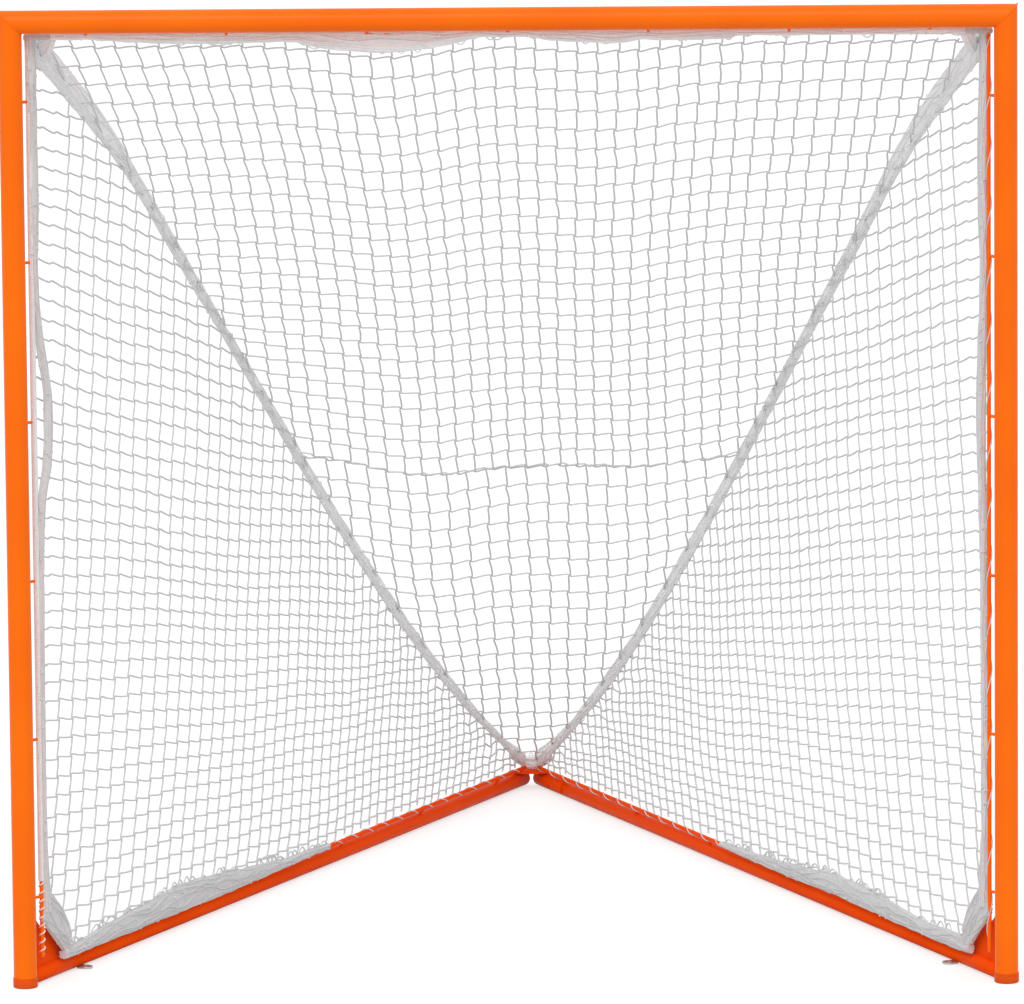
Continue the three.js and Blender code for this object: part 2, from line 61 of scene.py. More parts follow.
scene = bpy.context.scene
camera_data = bpy.data.cameras.new("camera")
camera_data.lens = camera_lens
camera_data.sensor_width = sensor_width
camera_data.clip_end = camera_reach
camera = bpy.data.objects.new("camera", camera_data)
camera.matrix_world = Matrix.Translation(camera_place) @ camera_turn
scene.collection.objects.link(camera)
scene.camera = camera
scene.view_settings.view_transform = "Standard"

# Floor and light: a pale studio floor, and a soft, even light from the front and above. The camera
# and the gloss see plain white all round, and the floor keeps the goal's shadow.
floor_size = 60
floor_drop = 0.0004
floor_white = (0.68, 0.68, 0.68, 1)
floor_shaded = (0.44, 0.44, 0.44, 1)
floor_glow = 0.62
white = (1, 1, 1, 1)
sky_strength = 0.88
sun_strength = 1.00
sun_spread = math.radians(28)
sun_from = Vector((-0.12, -1.0, 1.0))


def set_inputs(tree, node, inputs):
    """Sets a node's inputs to values, or links them to other nodes' sockets"""
    for name, value in inputs.items():
        if isinstance(value, bpy.types.NodeSocket):
            tree.links.new(value, node.inputs[name])
        else:
            node.inputs[name].default_value = value


def add_node(tree, kind, inputs=None, **settings):
    """A shader node with its settings and inputs"""
    node = tree.nodes.new(kind)
    for name, value in settings.items():
        setattr(node, name, value)
    set_inputs(tree, node, inputs or {})
    return node


def where_seen(tree, light, seen):
    """One shader for the rays that light the goal, and another for those of the camera, of gloss
    and through glass"""
    rays = add_node(tree, "ShaderNodeLightPath").outputs
    direct = rays["Is Camera Ray"]
    for kind in ("Is Glossy Ray", "Is Transmission Ray"):
        either = add_node(tree, "ShaderNodeMath", {0: direct, 1: rays[kind]}, operation="MAXIMUM")
        direct = either.outputs[0]
    mixed = add_node(tree, "ShaderNodeMixShader", {0: direct, 1: light.outputs[0], 2: seen.outputs[0]})
    return mixed.outputs[0]


floor_material = bpy.data.materials.new("pale_floor")
floor_material.use_nodes = True
tree = floor_material.node_tree
tree.nodes.clear()
plain = add_node(tree, "ShaderNodeBsdfDiffuse", {"Color": floor_white})
shaded = add_node(tree, "ShaderNodeBsdfDiffuse", {"Color": floor_shaded})
glow = add_node(tree, "ShaderNodeEmission", {"Color": white, "Strength": floor_glow})
seen = add_node(tree, "ShaderNodeAddShader", {0: shaded.outputs[0], 1: glow.outputs[0]})
add_node(tree, "ShaderNodeOutputMaterial", {"Surface": where_seen(tree, plain, seen)})

shape = bmesh.new()
bmesh.ops.create_grid(shape, x_segments=1, y_segments=1, size=floor_size / 2)
bmesh.ops.translate(shape, vec=(0, 0, -floor_drop), verts=shape.verts)
floor_mesh = bpy.data.meshes.new("floor")
shape.to_mesh(floor_mesh)
shape.free()
floor_mesh.materials.append(floor_material)
floor = bpy.data.objects.new("floor", floor_mesh)
scene.collection.objects.link(floor)

world = bpy.data.worlds.new("studio")
world.use_nodes = True
scene.world = world
tree = world.node_tree
tree.nodes.clear()
light = add_node(tree, "ShaderNodeBackground", {"Color": white, "Strength": sky_strength})
backdrop = add_node(tree, "ShaderNodeBackground", {"Color": white, "Strength": 1})
add_node(tree, "ShaderNodeOutputWorld", {"Surface": where_seen(tree, light, backdrop)})

sun_data = bpy.data.lights.new("sun", "SUN")
sun_data.energy = sun_strength
sun_data.angle = sun_spread
sun = bpy.data.objects.new("sun", sun_data)
sun.matrix_world = sun_from.to_track_quat("Z", "Y").to_matrix().to_4x4()
scene.collection.objects.link(sun)

# Posts and crossbar: steel tube, mitred at the top corners, welded and coated with smooth orange
# paint. The frame gives their places.
tube_radius = 0.044450 / 2
tube_wall = 0.0021
tube_sides = 96
foot_level = 0.0033
full_turn = 2 * math.pi
crease = math.radians(32)
paint_colour = (0.97, 0.165, 0.002, 1)
paint_deep = (0.93, 0.140, 0.002, 1)
soil_colour = (0.20, 0.09, 0.035, 1)
soil_height = 0.012
soil_share = 0.55
hands = ((-1, "left"), (1, "right"))

post_low, post_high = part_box("right_post")
bar_low, bar_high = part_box("crossbar")
post_offset = (post_low.x + post_high.x) / 2
front = (post_low.y + post_high.y) / 2
bar_height = (bar_low.z + bar_high.z) / 2


def both(part):
    """The numbers of the left and right side, each with its part's name"""
    return [(side, f"{hand}_{part}") for side, hand in hands]


def turned(profile, sides, turn=full_turn):
    """A piece turned about Z from a closed profile of radius and height pairs"""
    shape = bmesh.new()
    points = [shape.verts.new((radius, 0, height)) for radius, height in profile]
    edges = [shape.edges.new(pair) for pair in zip(points, points[1:] + points[:1])]
    whole = turn == full_turn
    if not whole:
        shape.faces.new(points)
    geometry = points + edges + list(shape.faces)
    bmesh.ops.spin(shape, geom=geometry, cent=(0, 0, 0), axis=(0, 0, 1), angle=turn, steps=sides,
                   use_merge=whole, use_duplicate=False)
    bmesh.ops.remove_doubles(shape, verts=shape.verts, dist=1e-6)
    bmesh.ops.recalc_face_normals(shape, faces=shape.faces)
    return shape


def tube(bore, radius, start, end, sides, turn=full_turn):
    """A tube along Z, or a solid bar if it has no bore"""
    return turned([(bore, start), (radius, start), (radius, end), (bore, end)], sides, turn)


def towards(start, direction, across=None):
    """The matrix that lays a shape's Z along a direction from a start, with its X near another"""
    z_axis = Vector(direction).normalized()
    x_axis = Vector(across) if across else z_axis.orthogonal()
    x_axis = (x_axis - z_axis * x_axis.dot(z_axis)).normalized()
    turn = Matrix((x_axis, z_axis.cross(x_axis), z_axis)).transposed().to_4x4()
    return Matrix.Translation(start) @ turn


def finish_piece(name, shape, material, slot, *nodes):
    """Makes the shape a piece of the goal, in place of the given solids"""
    for face in shape.faces:
        face.smooth = True
    for edge in shape.edges:
        edge.smooth = not (edge.is_manifold and edge.calc_face_angle() > crease)
    mesh = bpy.data.meshes.new(name)
    shape.to_mesh(mesh)
    shape.free()
    mesh.materials.append(material)
    piece = bpy.data.objects.new(name, mesh)
    scene.collection.objects.link(piece)
    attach(piece, "root")
    if nodes:
        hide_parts(*nodes)
    return piece


def clouds(tree, place, scale, detail):
    """A soft noise of the given scale over the surface"""
    return add_node(tree, "ShaderNodeTexNoise",
                    {"Vector": place, "Scale": scale, "Detail": detail}).outputs["Fac"]


def varied(tree, place, scale, low, high, detail):
    """A value between low and high that drifts over the surface"""
    drift = clouds(tree, place, scale, detail)
    return add_node(tree, "ShaderNodeMapRange", {"Value": drift, "From Min": 0.3, "From Max": 0.7,
                                                 "To Min": low, "To Max": high}).outputs["Result"]


def blended(tree, share, first, second):
    """A colour between two others"""
    return add_node(tree, "ShaderNodeMix", {"Factor": share, "A": first, "B": second},
                    data_type="RGBA").outputs["Result"]


def toned(name, colour, deep, scale, detail):
    """A new material with its node tree, a point's place, and a tone that drifts between colours"""
    material = bpy.data.materials.new(name)
    material.use_nodes = True
    tree = material.node_tree
    place = add_node(tree, "ShaderNodeTexCoord").outputs["Object"]
    return material, tree, place, blended(tree, varied(tree, place, scale, 0, 1, detail), colour, deep)


def surface(tree, relief, strength, depth, inputs):
    """Gives the tree's shader its fine relief and its other inputs"""
    bump = add_node(tree, "ShaderNodeBump", {"Height": relief, "Strength": strength, "Distance": depth})
    set_inputs(tree, tree.nodes["Principled BSDF"], {"Normal": bump.outputs["Normal"], **inputs})


def coated(name, colour, deep, rough_low, rough_high, peel, gloss):
    """Paint or moulded plastic: a colour that drifts a little, soil near the ground, an uneven gloss
    and a fine skin"""
    material, tree, place, tone = toned(name, colour, deep, 5, 2)
    height = add_node(tree, "ShaderNodeSeparateXYZ", {0: place}).outputs["Z"]
    low = add_node(tree, "ShaderNodeMapRange", {"Value": height, "From Min": 0.0, "From Max": soil_height,
                                                "To Min": soil_share, "To Max": 0.0}).outputs["Result"]
    soiled = add_node(tree, "ShaderNodeMath", {0: low, 1: varied(tree, place, 60, 0, 1, 5)},
                      operation="MULTIPLY").outputs[0]
    surface(tree, clouds(tree, place, 420, 2), peel, 0.0006,
            {"Base Color": blended(tree, soiled, tone, soil_colour), "Specular IOR Level": gloss,
             "Roughness": varied(tree, place, 30, rough_low, rough_high, 4)})
    return material


orange_paint = coated("orange_paint", paint_colour, paint_deep, 0.26, 0.36, 0.10, 0.10)

for side, name in both("post"):
    reach = bar_height - foot_level
    shape = tube(tube_radius - tube_wall, tube_radius, 0, reach, tube_sides)
    for point in shape.verts:
        if point.co.z > reach / 2:
            point.co.z += side * point.co.x
    bmesh.ops.translate(shape, vec=(side * post_offset, front, foot_level), verts=shape.verts)
    finish_piece(name, shape, orange_paint, "orange_paint", name)

bar_reach = 2 * post_offset
shape = tube(tube_radius - tube_wall, tube_radius, 0, bar_reach, tube_sides)
for point in shape.verts:
    point.co.z += point.co.x * (1 if point.co.z < bar_reach / 2 else -1)
shape.transform(towards((-post_offset, front, bar_height), (1, 0, 0), (0, 0, -1)))
finish_piece("crossbar", shape, orange_paint, "orange_paint", "crossbar")

# Weld beads at the mitres: a narrow bead of even ripples runs round each top corner's seam, and is
# painted over with the tubes.
mitre_bead = 0.0012
mitre_steps = 64
ripple_pitch = 0.0022
ripple_step = ripple_pitch / 3
ripple_share = 0.14


def strings(name, runs, radius, closed=False):
    """Round strings through lists of points, each point with a share of the radius"""
    curve = bpy.data.curves.new(name, "CURVE")
    curve.dimensions = "3D"
    curve.bevel_depth = radius
    curve.bevel_resolution = 1
    curve.use_fill_caps = True
    for run in runs:
        spline = curve.splines.new("POLY")
        spline.points.add(len(run) - 1)
        spline.use_cyclic_u = closed
        for point, (place, share) in zip(spline.points, run):
            point.co = (*place, 1)
            point.radius = share
    holder = bpy.data.objects.new(name, curve)
    scene.collection.objects.link(holder)
    bpy.context.view_layer.update()
    mesh = bpy.data.meshes.new_from_object(holder.evaluated_get(bpy.context.evaluated_depsgraph_get()))
    shape = bmesh.new()
    shape.from_mesh(mesh)
    bpy.data.objects.remove(holder)
    bpy.data.curves.remove(curve)
    bpy.data.meshes.remove(mesh)
    bmesh.ops.remove_doubles(shape, verts=shape.verts, dist=1e-7)
    bmesh.ops.recalc_face_normals(shape, faces=shape.faces)
    return shape


def bead(places, radius, closed=False):
    """A weld bead: a string through the places that swells and shrinks in ripples"""
    run = []
    walked = 0
    for start, end in zip(places, places[1:] + places[:1] if closed else places[1:]):
        steps = max(1, round((end - start).length / ripple_step))
        for step in range(steps):
            swollen = 1 + ripple_share * math.sin(full_turn * walked / ripple_pitch)
            run.append((start.lerp(end, step / steps), swollen))
            walked += (end - start).length / steps
    if not closed:
        run.append((places[-1], 1))
    return strings("bead", [run], radius, closed)


def ring_turns(count, start=0.0, end=full_turn):
    """Evenly spaced angles"""
    return [start + (end - start) * index / count for index in range(count)]


for side, name in both("mitre_weld"):
    corner = Vector((side * post_offset, front, bar_height))
    seam = [corner + Vector((math.cos(turn), math.sin(turn), side * math.cos(turn))) * tube_radius
            for turn in ring_turns(mitre_steps)]
    finish_piece(name, bead(seam, mitre_bead, True), orange_paint, "orange_paint")

# Foot caps: cups of orange plastic, moulded to press over the posts' lower ends. Their lower rim is
# chamfered and soiled by the ground, and a fine groove runs round below the mouth.
cap_radius = 0.023525
cap_bore = 0.022525
cap_height = 0.019
cap_floor = 0.003
cap_chamfer = 0.0016
cap_lip = 0.0045
cap_groove = 0.0005
cap_round = 0.0003
cap_sides = 96
cap_colour = (0.80, 0.090, 0.002, 1)
cap_deep = (0.72, 0.075, 0.002, 1)
orange_plastic = coated("orange_plastic", cap_colour, cap_deep, 0.38, 0.5, 0.2, 0.12)


def soften(shape, width):
    """Rounds off the shape's sharp edges"""
    edges = [edge for edge in shape.edges if edge.is_manifold and edge.calc_face_angle() > crease]
    bmesh.ops.bevel(shape, geom=edges, offset=width, offset_type="OFFSET", affect="EDGES",
                    segments=2, profile=0.5, material=-1, clamp_overlap=True)


for side, name in both("foot_cap"):
    lip = cap_height - cap_lip
    shape = turned([(0, 0), (cap_radius - cap_chamfer, 0), (cap_radius, cap_chamfer), (cap_radius, lip),
                    (cap_radius - cap_groove, lip + cap_groove), (cap_radius, lip + 2 * cap_groove),
                    (cap_radius, cap_height), (cap_bore, cap_height), (cap_bore, cap_floor),
                    (0, cap_floor)], cap_sides)
    soften(shape, cap_round)
    bmesh.ops.translate(shape, vec=(side * post_offset, front, 0), verts=shape.verts)
    finish_piece(name, shape, orange_plastic, "orange_cap", name)

# Corner stubs: short tubes welded to the posts near the ground. Each has a turned-down spigot that
# the rail slides onto, and a weld bead where it meets the post. The base's parts carry the posts'
# orange paint, made darker and redder in colour: painted shade for the less light they get.
base_depth = 2.134
rail_radius = 0.031750 / 2
rail_wall = 0.00165
rail_sides = 80
seat_gap = 0.0003
edge_round = 0.0005
stub_reach = 0.172
stub_bore = 0.0228 / 2
stub_root = 0.015
spigot_reach = 0.09
spigot_radius = rail_radius - rail_wall - seat_gap
stub_bead = 0.0019
stub_bead_steps = 48
# Painted shade: the posts' orange, darkened and reddened for the base's lower light.
shaded_base_colour = (0.95, 0.082, 0.001, 1)
shaded_base_deep = (0.90, 0.068, 0.001, 1)
shaded_base_paint = coated("shaded_base_paint", shaded_base_colour, shaded_base_deep, 0.30, 0.40, 0.10, 0.012)

up = Vector((0, 0, 1))
splay = math.atan2(post_offset, base_depth)


def beside(side, along, height, across=0.0):
    """A place by a side frame: along its rail from the post's axis, above the ground, and outward"""
    x = side * (post_offset - along * math.sin(splay) + across * math.cos(splay))
    return Vector((x, front + along * math.cos(splay) + across * math.sin(splay), height))


def rail_ways(side):
    """The directions back along a side's rail and inward across it"""
    start = beside(side, 0, 0)
    return beside(side, 1, 0) - start, beside(side, 0, 0, -1) - start


def rail_line(side, along):
    """The matrix that lays a turned piece's Z back along a rail, with its X upward"""
    return towards(beside(side, along, rail_radius), rail_ways(side)[0], up)


def spigot_tube(start, reach):
    """A tube from start to reach, with a thinner end beyond it that the rail slides onto"""
    end = reach + spigot_reach
    shape = turned([(stub_bore, start), (rail_radius, start), (rail_radius, reach),
                    (spigot_radius, reach), (spigot_radius, end), (stub_bore, end)], rail_sides)
    soften(shape, edge_round)
    return shape


for side, name in both("corner_stub"):
    shape = spigot_tube(stub_root, stub_reach)
    shape.transform(rail_line(side, 0))
    finish_piece(name, shape, shaded_base_paint, "orange_paint", name)
    clear = math.asin((cap_height - rail_radius) / rail_radius)
    seam = []
    for turn in ring_turns(stub_bead_steps, clear, math.pi - clear):
        across = rail_radius * math.cos(turn)
        seam.append(beside(side, math.sqrt(tube_radius ** 2 - across ** 2),
                           rail_radius + rail_radius * math.sin(turn), across))
    finish_piece(name + "_weld", bead(seam, stub_bead), shaded_base_paint, "orange_paint")

# Corner gussets: flat steel plates on edge in the angle of post and stub, flame-cut with a hollowed
# upper edge, and welded to the post and the stub along both faces.
plate_thickness = 0.005
plate_round = 0.0007
plate_bead = 0.0016
gusset_reach = stub_reach - 0.004
gusset_height = 0.118
gusset_nose = 0.006
gusset_foot = 2 * rail_radius
shoulder_place_share = 0.46
shoulder_height_share = 0.565
hollow_steps = 14

gusset_top = gusset_foot + gusset_height


def joined(parts):
    """One shape from several"""
    whole = bmesh.new()
    for part in parts:
        mesh = bpy.data.meshes.new("part")
        part.to_mesh(mesh)
        part.free()
        whole.from_mesh(mesh)
        bpy.data.meshes.remove(mesh)
    return whole


def thickened(shape, thickness, softness):
    """A flat shape raised from Z = 0 to the thickness, with its edges rounded off"""
    raised = bmesh.ops.extrude_face_region(shape, geom=list(shape.faces))["geom"]
    bmesh.ops.translate(shape, vec=(0, 0, thickness),
                        verts=[item for item in raised if isinstance(item, bmesh.types.BMVert)])
    bmesh.ops.recalc_face_normals(shape, faces=shape.faces)
    soften(shape, softness)
    return shape


def plate(outline, thickness):
    """A flat plate with the outline"""
    shape = bmesh.new()
    shape.faces.new([shape.verts.new((x, y, 0)) for x, y in outline])
    return thickened(shape, thickness, plate_round)


def bend(start, control, end, steps):
    """Points of a curve from start to end, pulled towards a control point"""
    points = []
    for step in range(steps + 1):
        share = step / steps
        points.append(start.lerp(control, share).lerp(control.lerp(end, share), share))
    return points


shoulder = Vector((tube_radius + (gusset_reach - tube_radius) * shoulder_place_share,
                   gusset_foot + gusset_height * shoulder_height_share))
hollow = bend(shoulder, Vector(((tube_radius + shoulder.x) / 2, shoulder.y)),
              Vector((tube_radius, gusset_top)), hollow_steps)
outline = [(tube_radius, gusset_foot), (gusset_reach, gusset_foot),
           (gusset_reach, gusset_foot + gusset_nose)] + [tuple(point) for point in hollow]

for side, name in both("corner_gusset"):
    shape = plate(outline, plate_thickness)
    back, _ = rail_ways(side)
    shape.transform(towards(beside(side, 0, 0), back.cross(up), back)
                    @ Matrix.Translation((0, 0, -plate_thickness / 2)))
    finish_piece(name, shape, shaded_base_paint, "orange_paint", name)
    beads = []
    for face in (-plate_thickness / 2, plate_thickness / 2):
        beads.append(bead([beside(side, tube_radius, gusset_top - plate_bead, face),
                           beside(side, tube_radius, gusset_foot, face),
                           beside(side, gusset_reach, gusset_foot, face)], plate_bead))
    finish_piece(name + "_weld", joined(beads), shaded_base_paint, "orange_paint")

# Ground rails: longer steel tubes that slide onto the stubs' spigots and run back to the apex. The
# left one goes all the way, and the right one stops at the apex stub, with a saddle strap over its
# end.
apex_slit = 0.006
cap_flange = 0.003
apex_stub_reach = 0.093
saddle_reach = 0.055
saddle_wall = 0.0016
saddle_sides = 56
saddle_turn = math.radians(240)

rail_setback = (rail_radius * math.cos(splay) + apex_slit / 2) / math.sin(splay)
rail_rear = math.hypot(post_offset, base_depth) - rail_setback - cap_flange - seat_gap
rail_front = stub_reach + seat_gap
apex_joint = rail_rear - apex_stub_reach

for (side, name), rear in zip(both("base_rail"), (rail_rear, apex_joint - seat_gap)):
    shape = tube(rail_radius - rail_wall, rail_radius, rail_front, rear, rail_sides)
    soften(shape, edge_round)
    shape.transform(rail_line(side, 0))
    finish_piece(name, shape, shaded_base_paint, "orange_paint", name)

shape = spigot_tube(0, apex_stub_reach)
shape.transform(towards(beside(1, rail_rear, rail_radius), -rail_ways(1)[0], up))
finish_piece("right_apex_stub", shape, shaded_base_paint, "orange_paint", "right_apex_stub")

strap = rail_radius + seat_gap
shape = tube(strap, strap + saddle_wall, 0, saddle_reach, saddle_sides, saddle_turn)
soften(shape, edge_round)
shape.transform(rail_line(1, apex_joint - saddle_reach) @ Matrix.Rotation(-saddle_turn / 2, 4, "Z"))
finish_piece("right_rail_saddle", shape, shaded_base_paint, "orange_paint", "right_rail_saddle")

# End caps: moulded plugs of the foot caps' orange plastic, each with a flange and a skirt. They are
# pressed into the rear ends of the left rail and the apex stub.
cap_skirt = 0.014
plug_wall = 0.0015

for side, name, bore in ((-1, "left_rail_end_cap", rail_radius - rail_wall),
                         (1, "right_apex_end_cap", stub_bore)):
    skirt = bore - seat_gap
    shape = turned([(0, 0), (rail_radius, 0), (rail_radius, -cap_flange), (skirt, -cap_flange),
                    (skirt, -cap_flange - cap_skirt), (skirt - plug_wall, -cap_flange - cap_skirt),
                    (skirt - plug_wall, -cap_flange), (0, -cap_flange)], rail_sides)
    soften(shape, edge_round)
    shape.transform(rail_line(side, rail_rear + seat_gap + cap_flange))
    finish_piece(name, shape, orange_plastic, "orange_cap", name)

# Apex plate: a thin steel plate with rounded corners that holds the base together at the rear. It
# lies across the two tube ends and is welded to both.
apex_plate_thickness = 0.005
apex_plate_front = 0.078
apex_plate_rear = 0.058
apex_plate_reach = 0.050
apex_plate_round = 0.008
apex_plate_steps = 6
apex_bead_across = 0.003

plate_low, plate_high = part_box("apex_plate")
corners = [Vector((width / 2, y)) for width, y in (
    (-apex_plate_front, plate_low.y), (apex_plate_front, plate_low.y),
    (apex_plate_rear, plate_high.y), (-apex_plate_rear, plate_high.y))]
outline = []
for index, corner in enumerate(corners):
    before = corner + (corners[index - 1] - corner).normalized() * apex_plate_round
    after = corner + (corners[(index + 1) % len(corners)] - corner).normalized() * apex_plate_round
    outline += [tuple(point) for point in bend(before, corner, after, apex_plate_steps)]
shape = plate(outline, apex_plate_thickness)
bmesh.ops.translate(shape, vec=(0, 0, plate_low.z), verts=shape.verts)
finish_piece("apex_plate", shape, shaded_base_paint, "orange_paint", "apex_plate")

bead_front = rail_rear - apex_plate_reach / math.cos(splay)
beads = [bead([beside(side, along, 2 * rail_radius, apex_bead_across) for along in (bead_front, rail_rear)],
              plate_bead) for side in (-1, 1)]
finish_piece("apex_plate_weld", joined(beads), shaded_base_paint, "orange_paint")

# Lock screws: steel screws with a rounded head and a recess in it, driven through each rail into the
# spigot inside it, on the outer side.
screw_radius = 0.003
screw_head = 0.0055
screw_head_height = 0.0032
screw_round = 0.0011
screw_edge = 0.0002
screw_past_bore = 0.002
screw_sides = 36
recess_radius = 0.0023
recess_depth = 0.0018
corner_screw = stub_reach + 0.045
apex_screw = apex_joint - 0.072
steel_colour = (0.56, 0.55, 0.53, 1)
steel_dull = (0.42, 0.41, 0.39, 1)

bare_steel, tree, place, tone = toned("bare_steel", steel_colour, steel_dull, 90, 4)
surface(tree, clouds(tree, place, 1400, 3), 0.15, 0.0002,
        {"Base Color": tone, "Metallic": 1, "Roughness": varied(tree, place, 200, 0.32, 0.5, 3)})

for side, name, place in ((-1, "left_rail_lock_screw", corner_screw),
                          (1, "right_rail_lock_screw", corner_screw), (1, "apex_lock_screw", apex_screw)):
    tip = stub_bore - screw_past_bore
    crown = strap + screw_head_height
    shape = turned([(0, tip), (screw_radius, tip), (screw_radius, strap), (screw_head, strap),
                    (screw_head, crown - 2 * screw_round),
                    (screw_head - screw_round, crown - screw_round / 2), (recess_radius, crown),
                    (recess_radius, crown - recess_depth), (0, crown - recess_depth)], screw_sides)
    soften(shape, screw_edge)
    shape.transform(towards(beside(side, place, rail_radius), -rail_ways(side)[1]))
    finish_piece(name, shape, bare_steel, "bare_steel", name)

# Anchor tabs: ears of plated steel strip that lie on the ground inside the rails. They are rounded
# at the end, drilled for a stake and welded to the rails.
tab_lead = 0.033
tab_thickness = 0.004
tab_width = 0.026
tab_reach = 0.027
tab_hole = 0.009 / 2
tab_round = 0.0004
tab_steps = 40

for side, name in both("anchor_tab"):
    edge = math.sqrt(rail_radius ** 2 - (rail_radius - tab_thickness) ** 2) + seat_gap
    middle = edge + tab_reach - tab_width / 2
    shape = bmesh.new()
    rims = []
    for radius in (tab_width / 2, tab_hole):
        ring = []
        for turn in ring_turns(tab_steps, math.pi / tab_steps, full_turn + math.pi / tab_steps):
            x, y = math.cos(turn), math.sin(turn)
            if y < 0 and radius > tab_hole:
                widest = max(abs(x), abs(y) * (tab_width / 2) / (middle - edge))
                x, y = x / widest, y / widest
            ring.append(shape.verts.new((radius * x, middle + radius * y, 0)))
        rims += [shape.edges.new(pair) for pair in zip(ring, ring[1:] + ring[:1])]
    bmesh.ops.bridge_loops(shape, edges=rims)
    thickened(shape, tab_thickness, tab_round)
    _, inward = rail_ways(side)
    shape.transform(towards(beside(side, stub_reach + tab_lead, 0), up, inward.cross(up)))
    finish_piece(name, shape, bare_steel, "bare_steel", name)

# Lacing rods: thin painted steel rods that the net is laced to, behind the posts, under the crossbar,
# above the rails and across the front corners. Short lugs hold them off the tubes, with a weld at
# each end.
rod_radius = 0.00794 / 2
rod_round = 0.0006
rod_sides = 20
rod_foot = 0.052
post_rod_gap = 0.018
base_rod_gap = 0.012
base_rod_lead = 0.015
corner_rise = 0.084
corner_run = 0.100
corner_trim = 0.006
lug_radius = 0.003
lug_bead = 0.0011
lug_sides = 14
first_lug = 0.118
post_lugs = 6
base_lugs = 6
bar_lugs = 7

post_rod_reach = tube_radius + post_rod_gap + rod_radius
rod_inset = post_rod_reach * math.sqrt(0.5)
half_width = post_offset - rod_inset
bar_rod_height = bar_height - rod_inset
net_inset = rod_inset * (math.cos(splay) - math.sin(splay))
net_start = rod_inset * (math.cos(splay) + math.sin(splay))
net_apex = (post_offset - net_inset * math.cos(splay)) / math.sin(splay)
base_rod_reach = rail_radius + base_rod_gap + rod_radius
base_rod_rise = math.sqrt(base_rod_reach ** 2 - net_inset ** 2)
base_rod_height = rail_radius + base_rod_rise
corner_top = base_rod_height + corner_rise
corner_end = net_start + corner_run


def rod(start, end, lug_way=None, lug_reach=0, last_lug=0, lugs=0):
    """A rod with rounded ends between two points, with lugs spaced evenly from the first to the last"""
    along = (end - start).normalized()
    reach = (end - start).length
    bar = turned([(0, 0), (rod_radius - rod_round, 0), (rod_radius, rod_round),
                  (rod_radius, reach - rod_round), (rod_radius - rod_round, reach), (0, reach)], rod_sides)
    bar.transform(towards(start, along))
    parts = [bar]
    for index in range(lugs):
        root = start + along * (first_lug + (last_lug - first_lug) * index / (lugs - 1))
        pieces = [tube(0, lug_radius, 0, lug_reach, lug_sides)]
        inner = lug_radius - lug_bead / 2
        for level in (rod_radius - lug_bead / 2, lug_reach - lug_bead / 2):
            pieces.append(turned([(inner, level - lug_bead), (lug_radius + lug_bead, level),
                                  (inner, level + lug_bead)], lug_sides))
        for piece in pieces:
            piece.transform(towards(root, lug_way))
        parts += pieces
    return joined(parts)


def at_rods(x, height, back=0.0):
    """A place on the level of the rods behind the posts and the crossbar"""
    return Vector((x, front + rod_inset + back, height))


def in_net(side, along, height, inward=0.0):
    """A place in a side net's plane: along it from the post, above the ground, and inward from it"""
    return beside(side, along, height, -net_inset - inward)


def net_ways(side):
    """The directions back along a side net's plane and inward from it"""
    return rail_ways(side)[0], in_net(side, 0, 0, 1) - in_net(side, 0, 0)


post_lug_reach = post_rod_reach - tube_radius + lug_bead / 2
for side, hand in hands:
    start = at_rods(side * half_width, rod_foot)
    end = at_rods(side * half_width, bar_rod_height - rod_radius - seat_gap)
    last_lug = (end - start).length - first_lug
    finish_piece(f"{hand}_post_lacing_rod",
                 rod(start, end, (side, -1, 0), post_lug_reach, last_lug, post_lugs),
                 orange_paint, "orange_paint", f"{hand}_post_lacing_rod")
    start = in_net(side, corner_end - base_rod_lead, base_rod_height)
    end = in_net(side, net_apex - (rod_radius + seat_gap) / math.sin(splay), base_rod_height)
    to_rail = -rail_ways(side)[1] * net_inset - up * base_rod_rise
    last_lug = apex_joint - saddle_reach - 2 * lug_radius - (corner_end - base_rod_lead)
    finish_piece(f"{hand}_base_lacing_rod",
                 rod(start, end, to_rail, base_rod_reach - rail_radius, last_lug, base_lugs),
                 shaded_base_paint, "orange_paint", f"{hand}_base_lacing_rod")
    start = in_net(side, net_start, corner_top)
    end = in_net(side, corner_end, base_rod_height)
    trim = (end - start).normalized() * corner_trim
    finish_piece(f"{hand}_corner_lacing_rod", rod(start + trim, end - trim),
                 shaded_base_paint, "orange_paint", f"{hand}_corner_lacing_rod")

rod_end = half_width + 2 * rod_radius
finish_piece("crossbar_lacing_rod",
             rod(at_rods(-rod_end, bar_rod_height), at_rods(rod_end, bar_rod_height), (0, -1, 1),
                 post_lug_reach, 2 * rod_end - first_lug, bar_lugs),
             orange_paint, "orange_paint", "crossbar_lacing_rod")

# Nets: square mesh of braided white cord, knotted at every crossing. The back net is a triangle that
# hangs from the crossbar's rod, in two panels joined halfway down. The side nets fill the triangles
# between post, rail and seam, and their rows fan out from the seam to the post.
cord_radius = 0.0019
knot_radius = 0.0028
knot_stretch = 1.35
noise_seed = 11
net_colour = (0.695, 0.695, 0.70, 1)
net_shade = (0.630, 0.630, 0.635, 1)
seam_sag = 0.088
seam_cross_share = 0.27
seam_nearness = 0.8
seam_low_share = (1 + seam_cross_share + math.sqrt(1 - seam_cross_share + seam_cross_share ** 2)) / 3

# The kinks are how far a cord strays sideways between two knots, in meshes, at each share of the way
row_kinks = ((0.0, 0.0), (0.12, 0.055), (0.5, -0.02), (0.88, -0.065))
column_kinks = ((0.0, 0.0), (0.12, -0.05), (0.5, 0.015), (0.88, 0.045))

back_columns = 49
back_middle = 23.7
row_count = 44
join_row = 26
join_share = 0.508
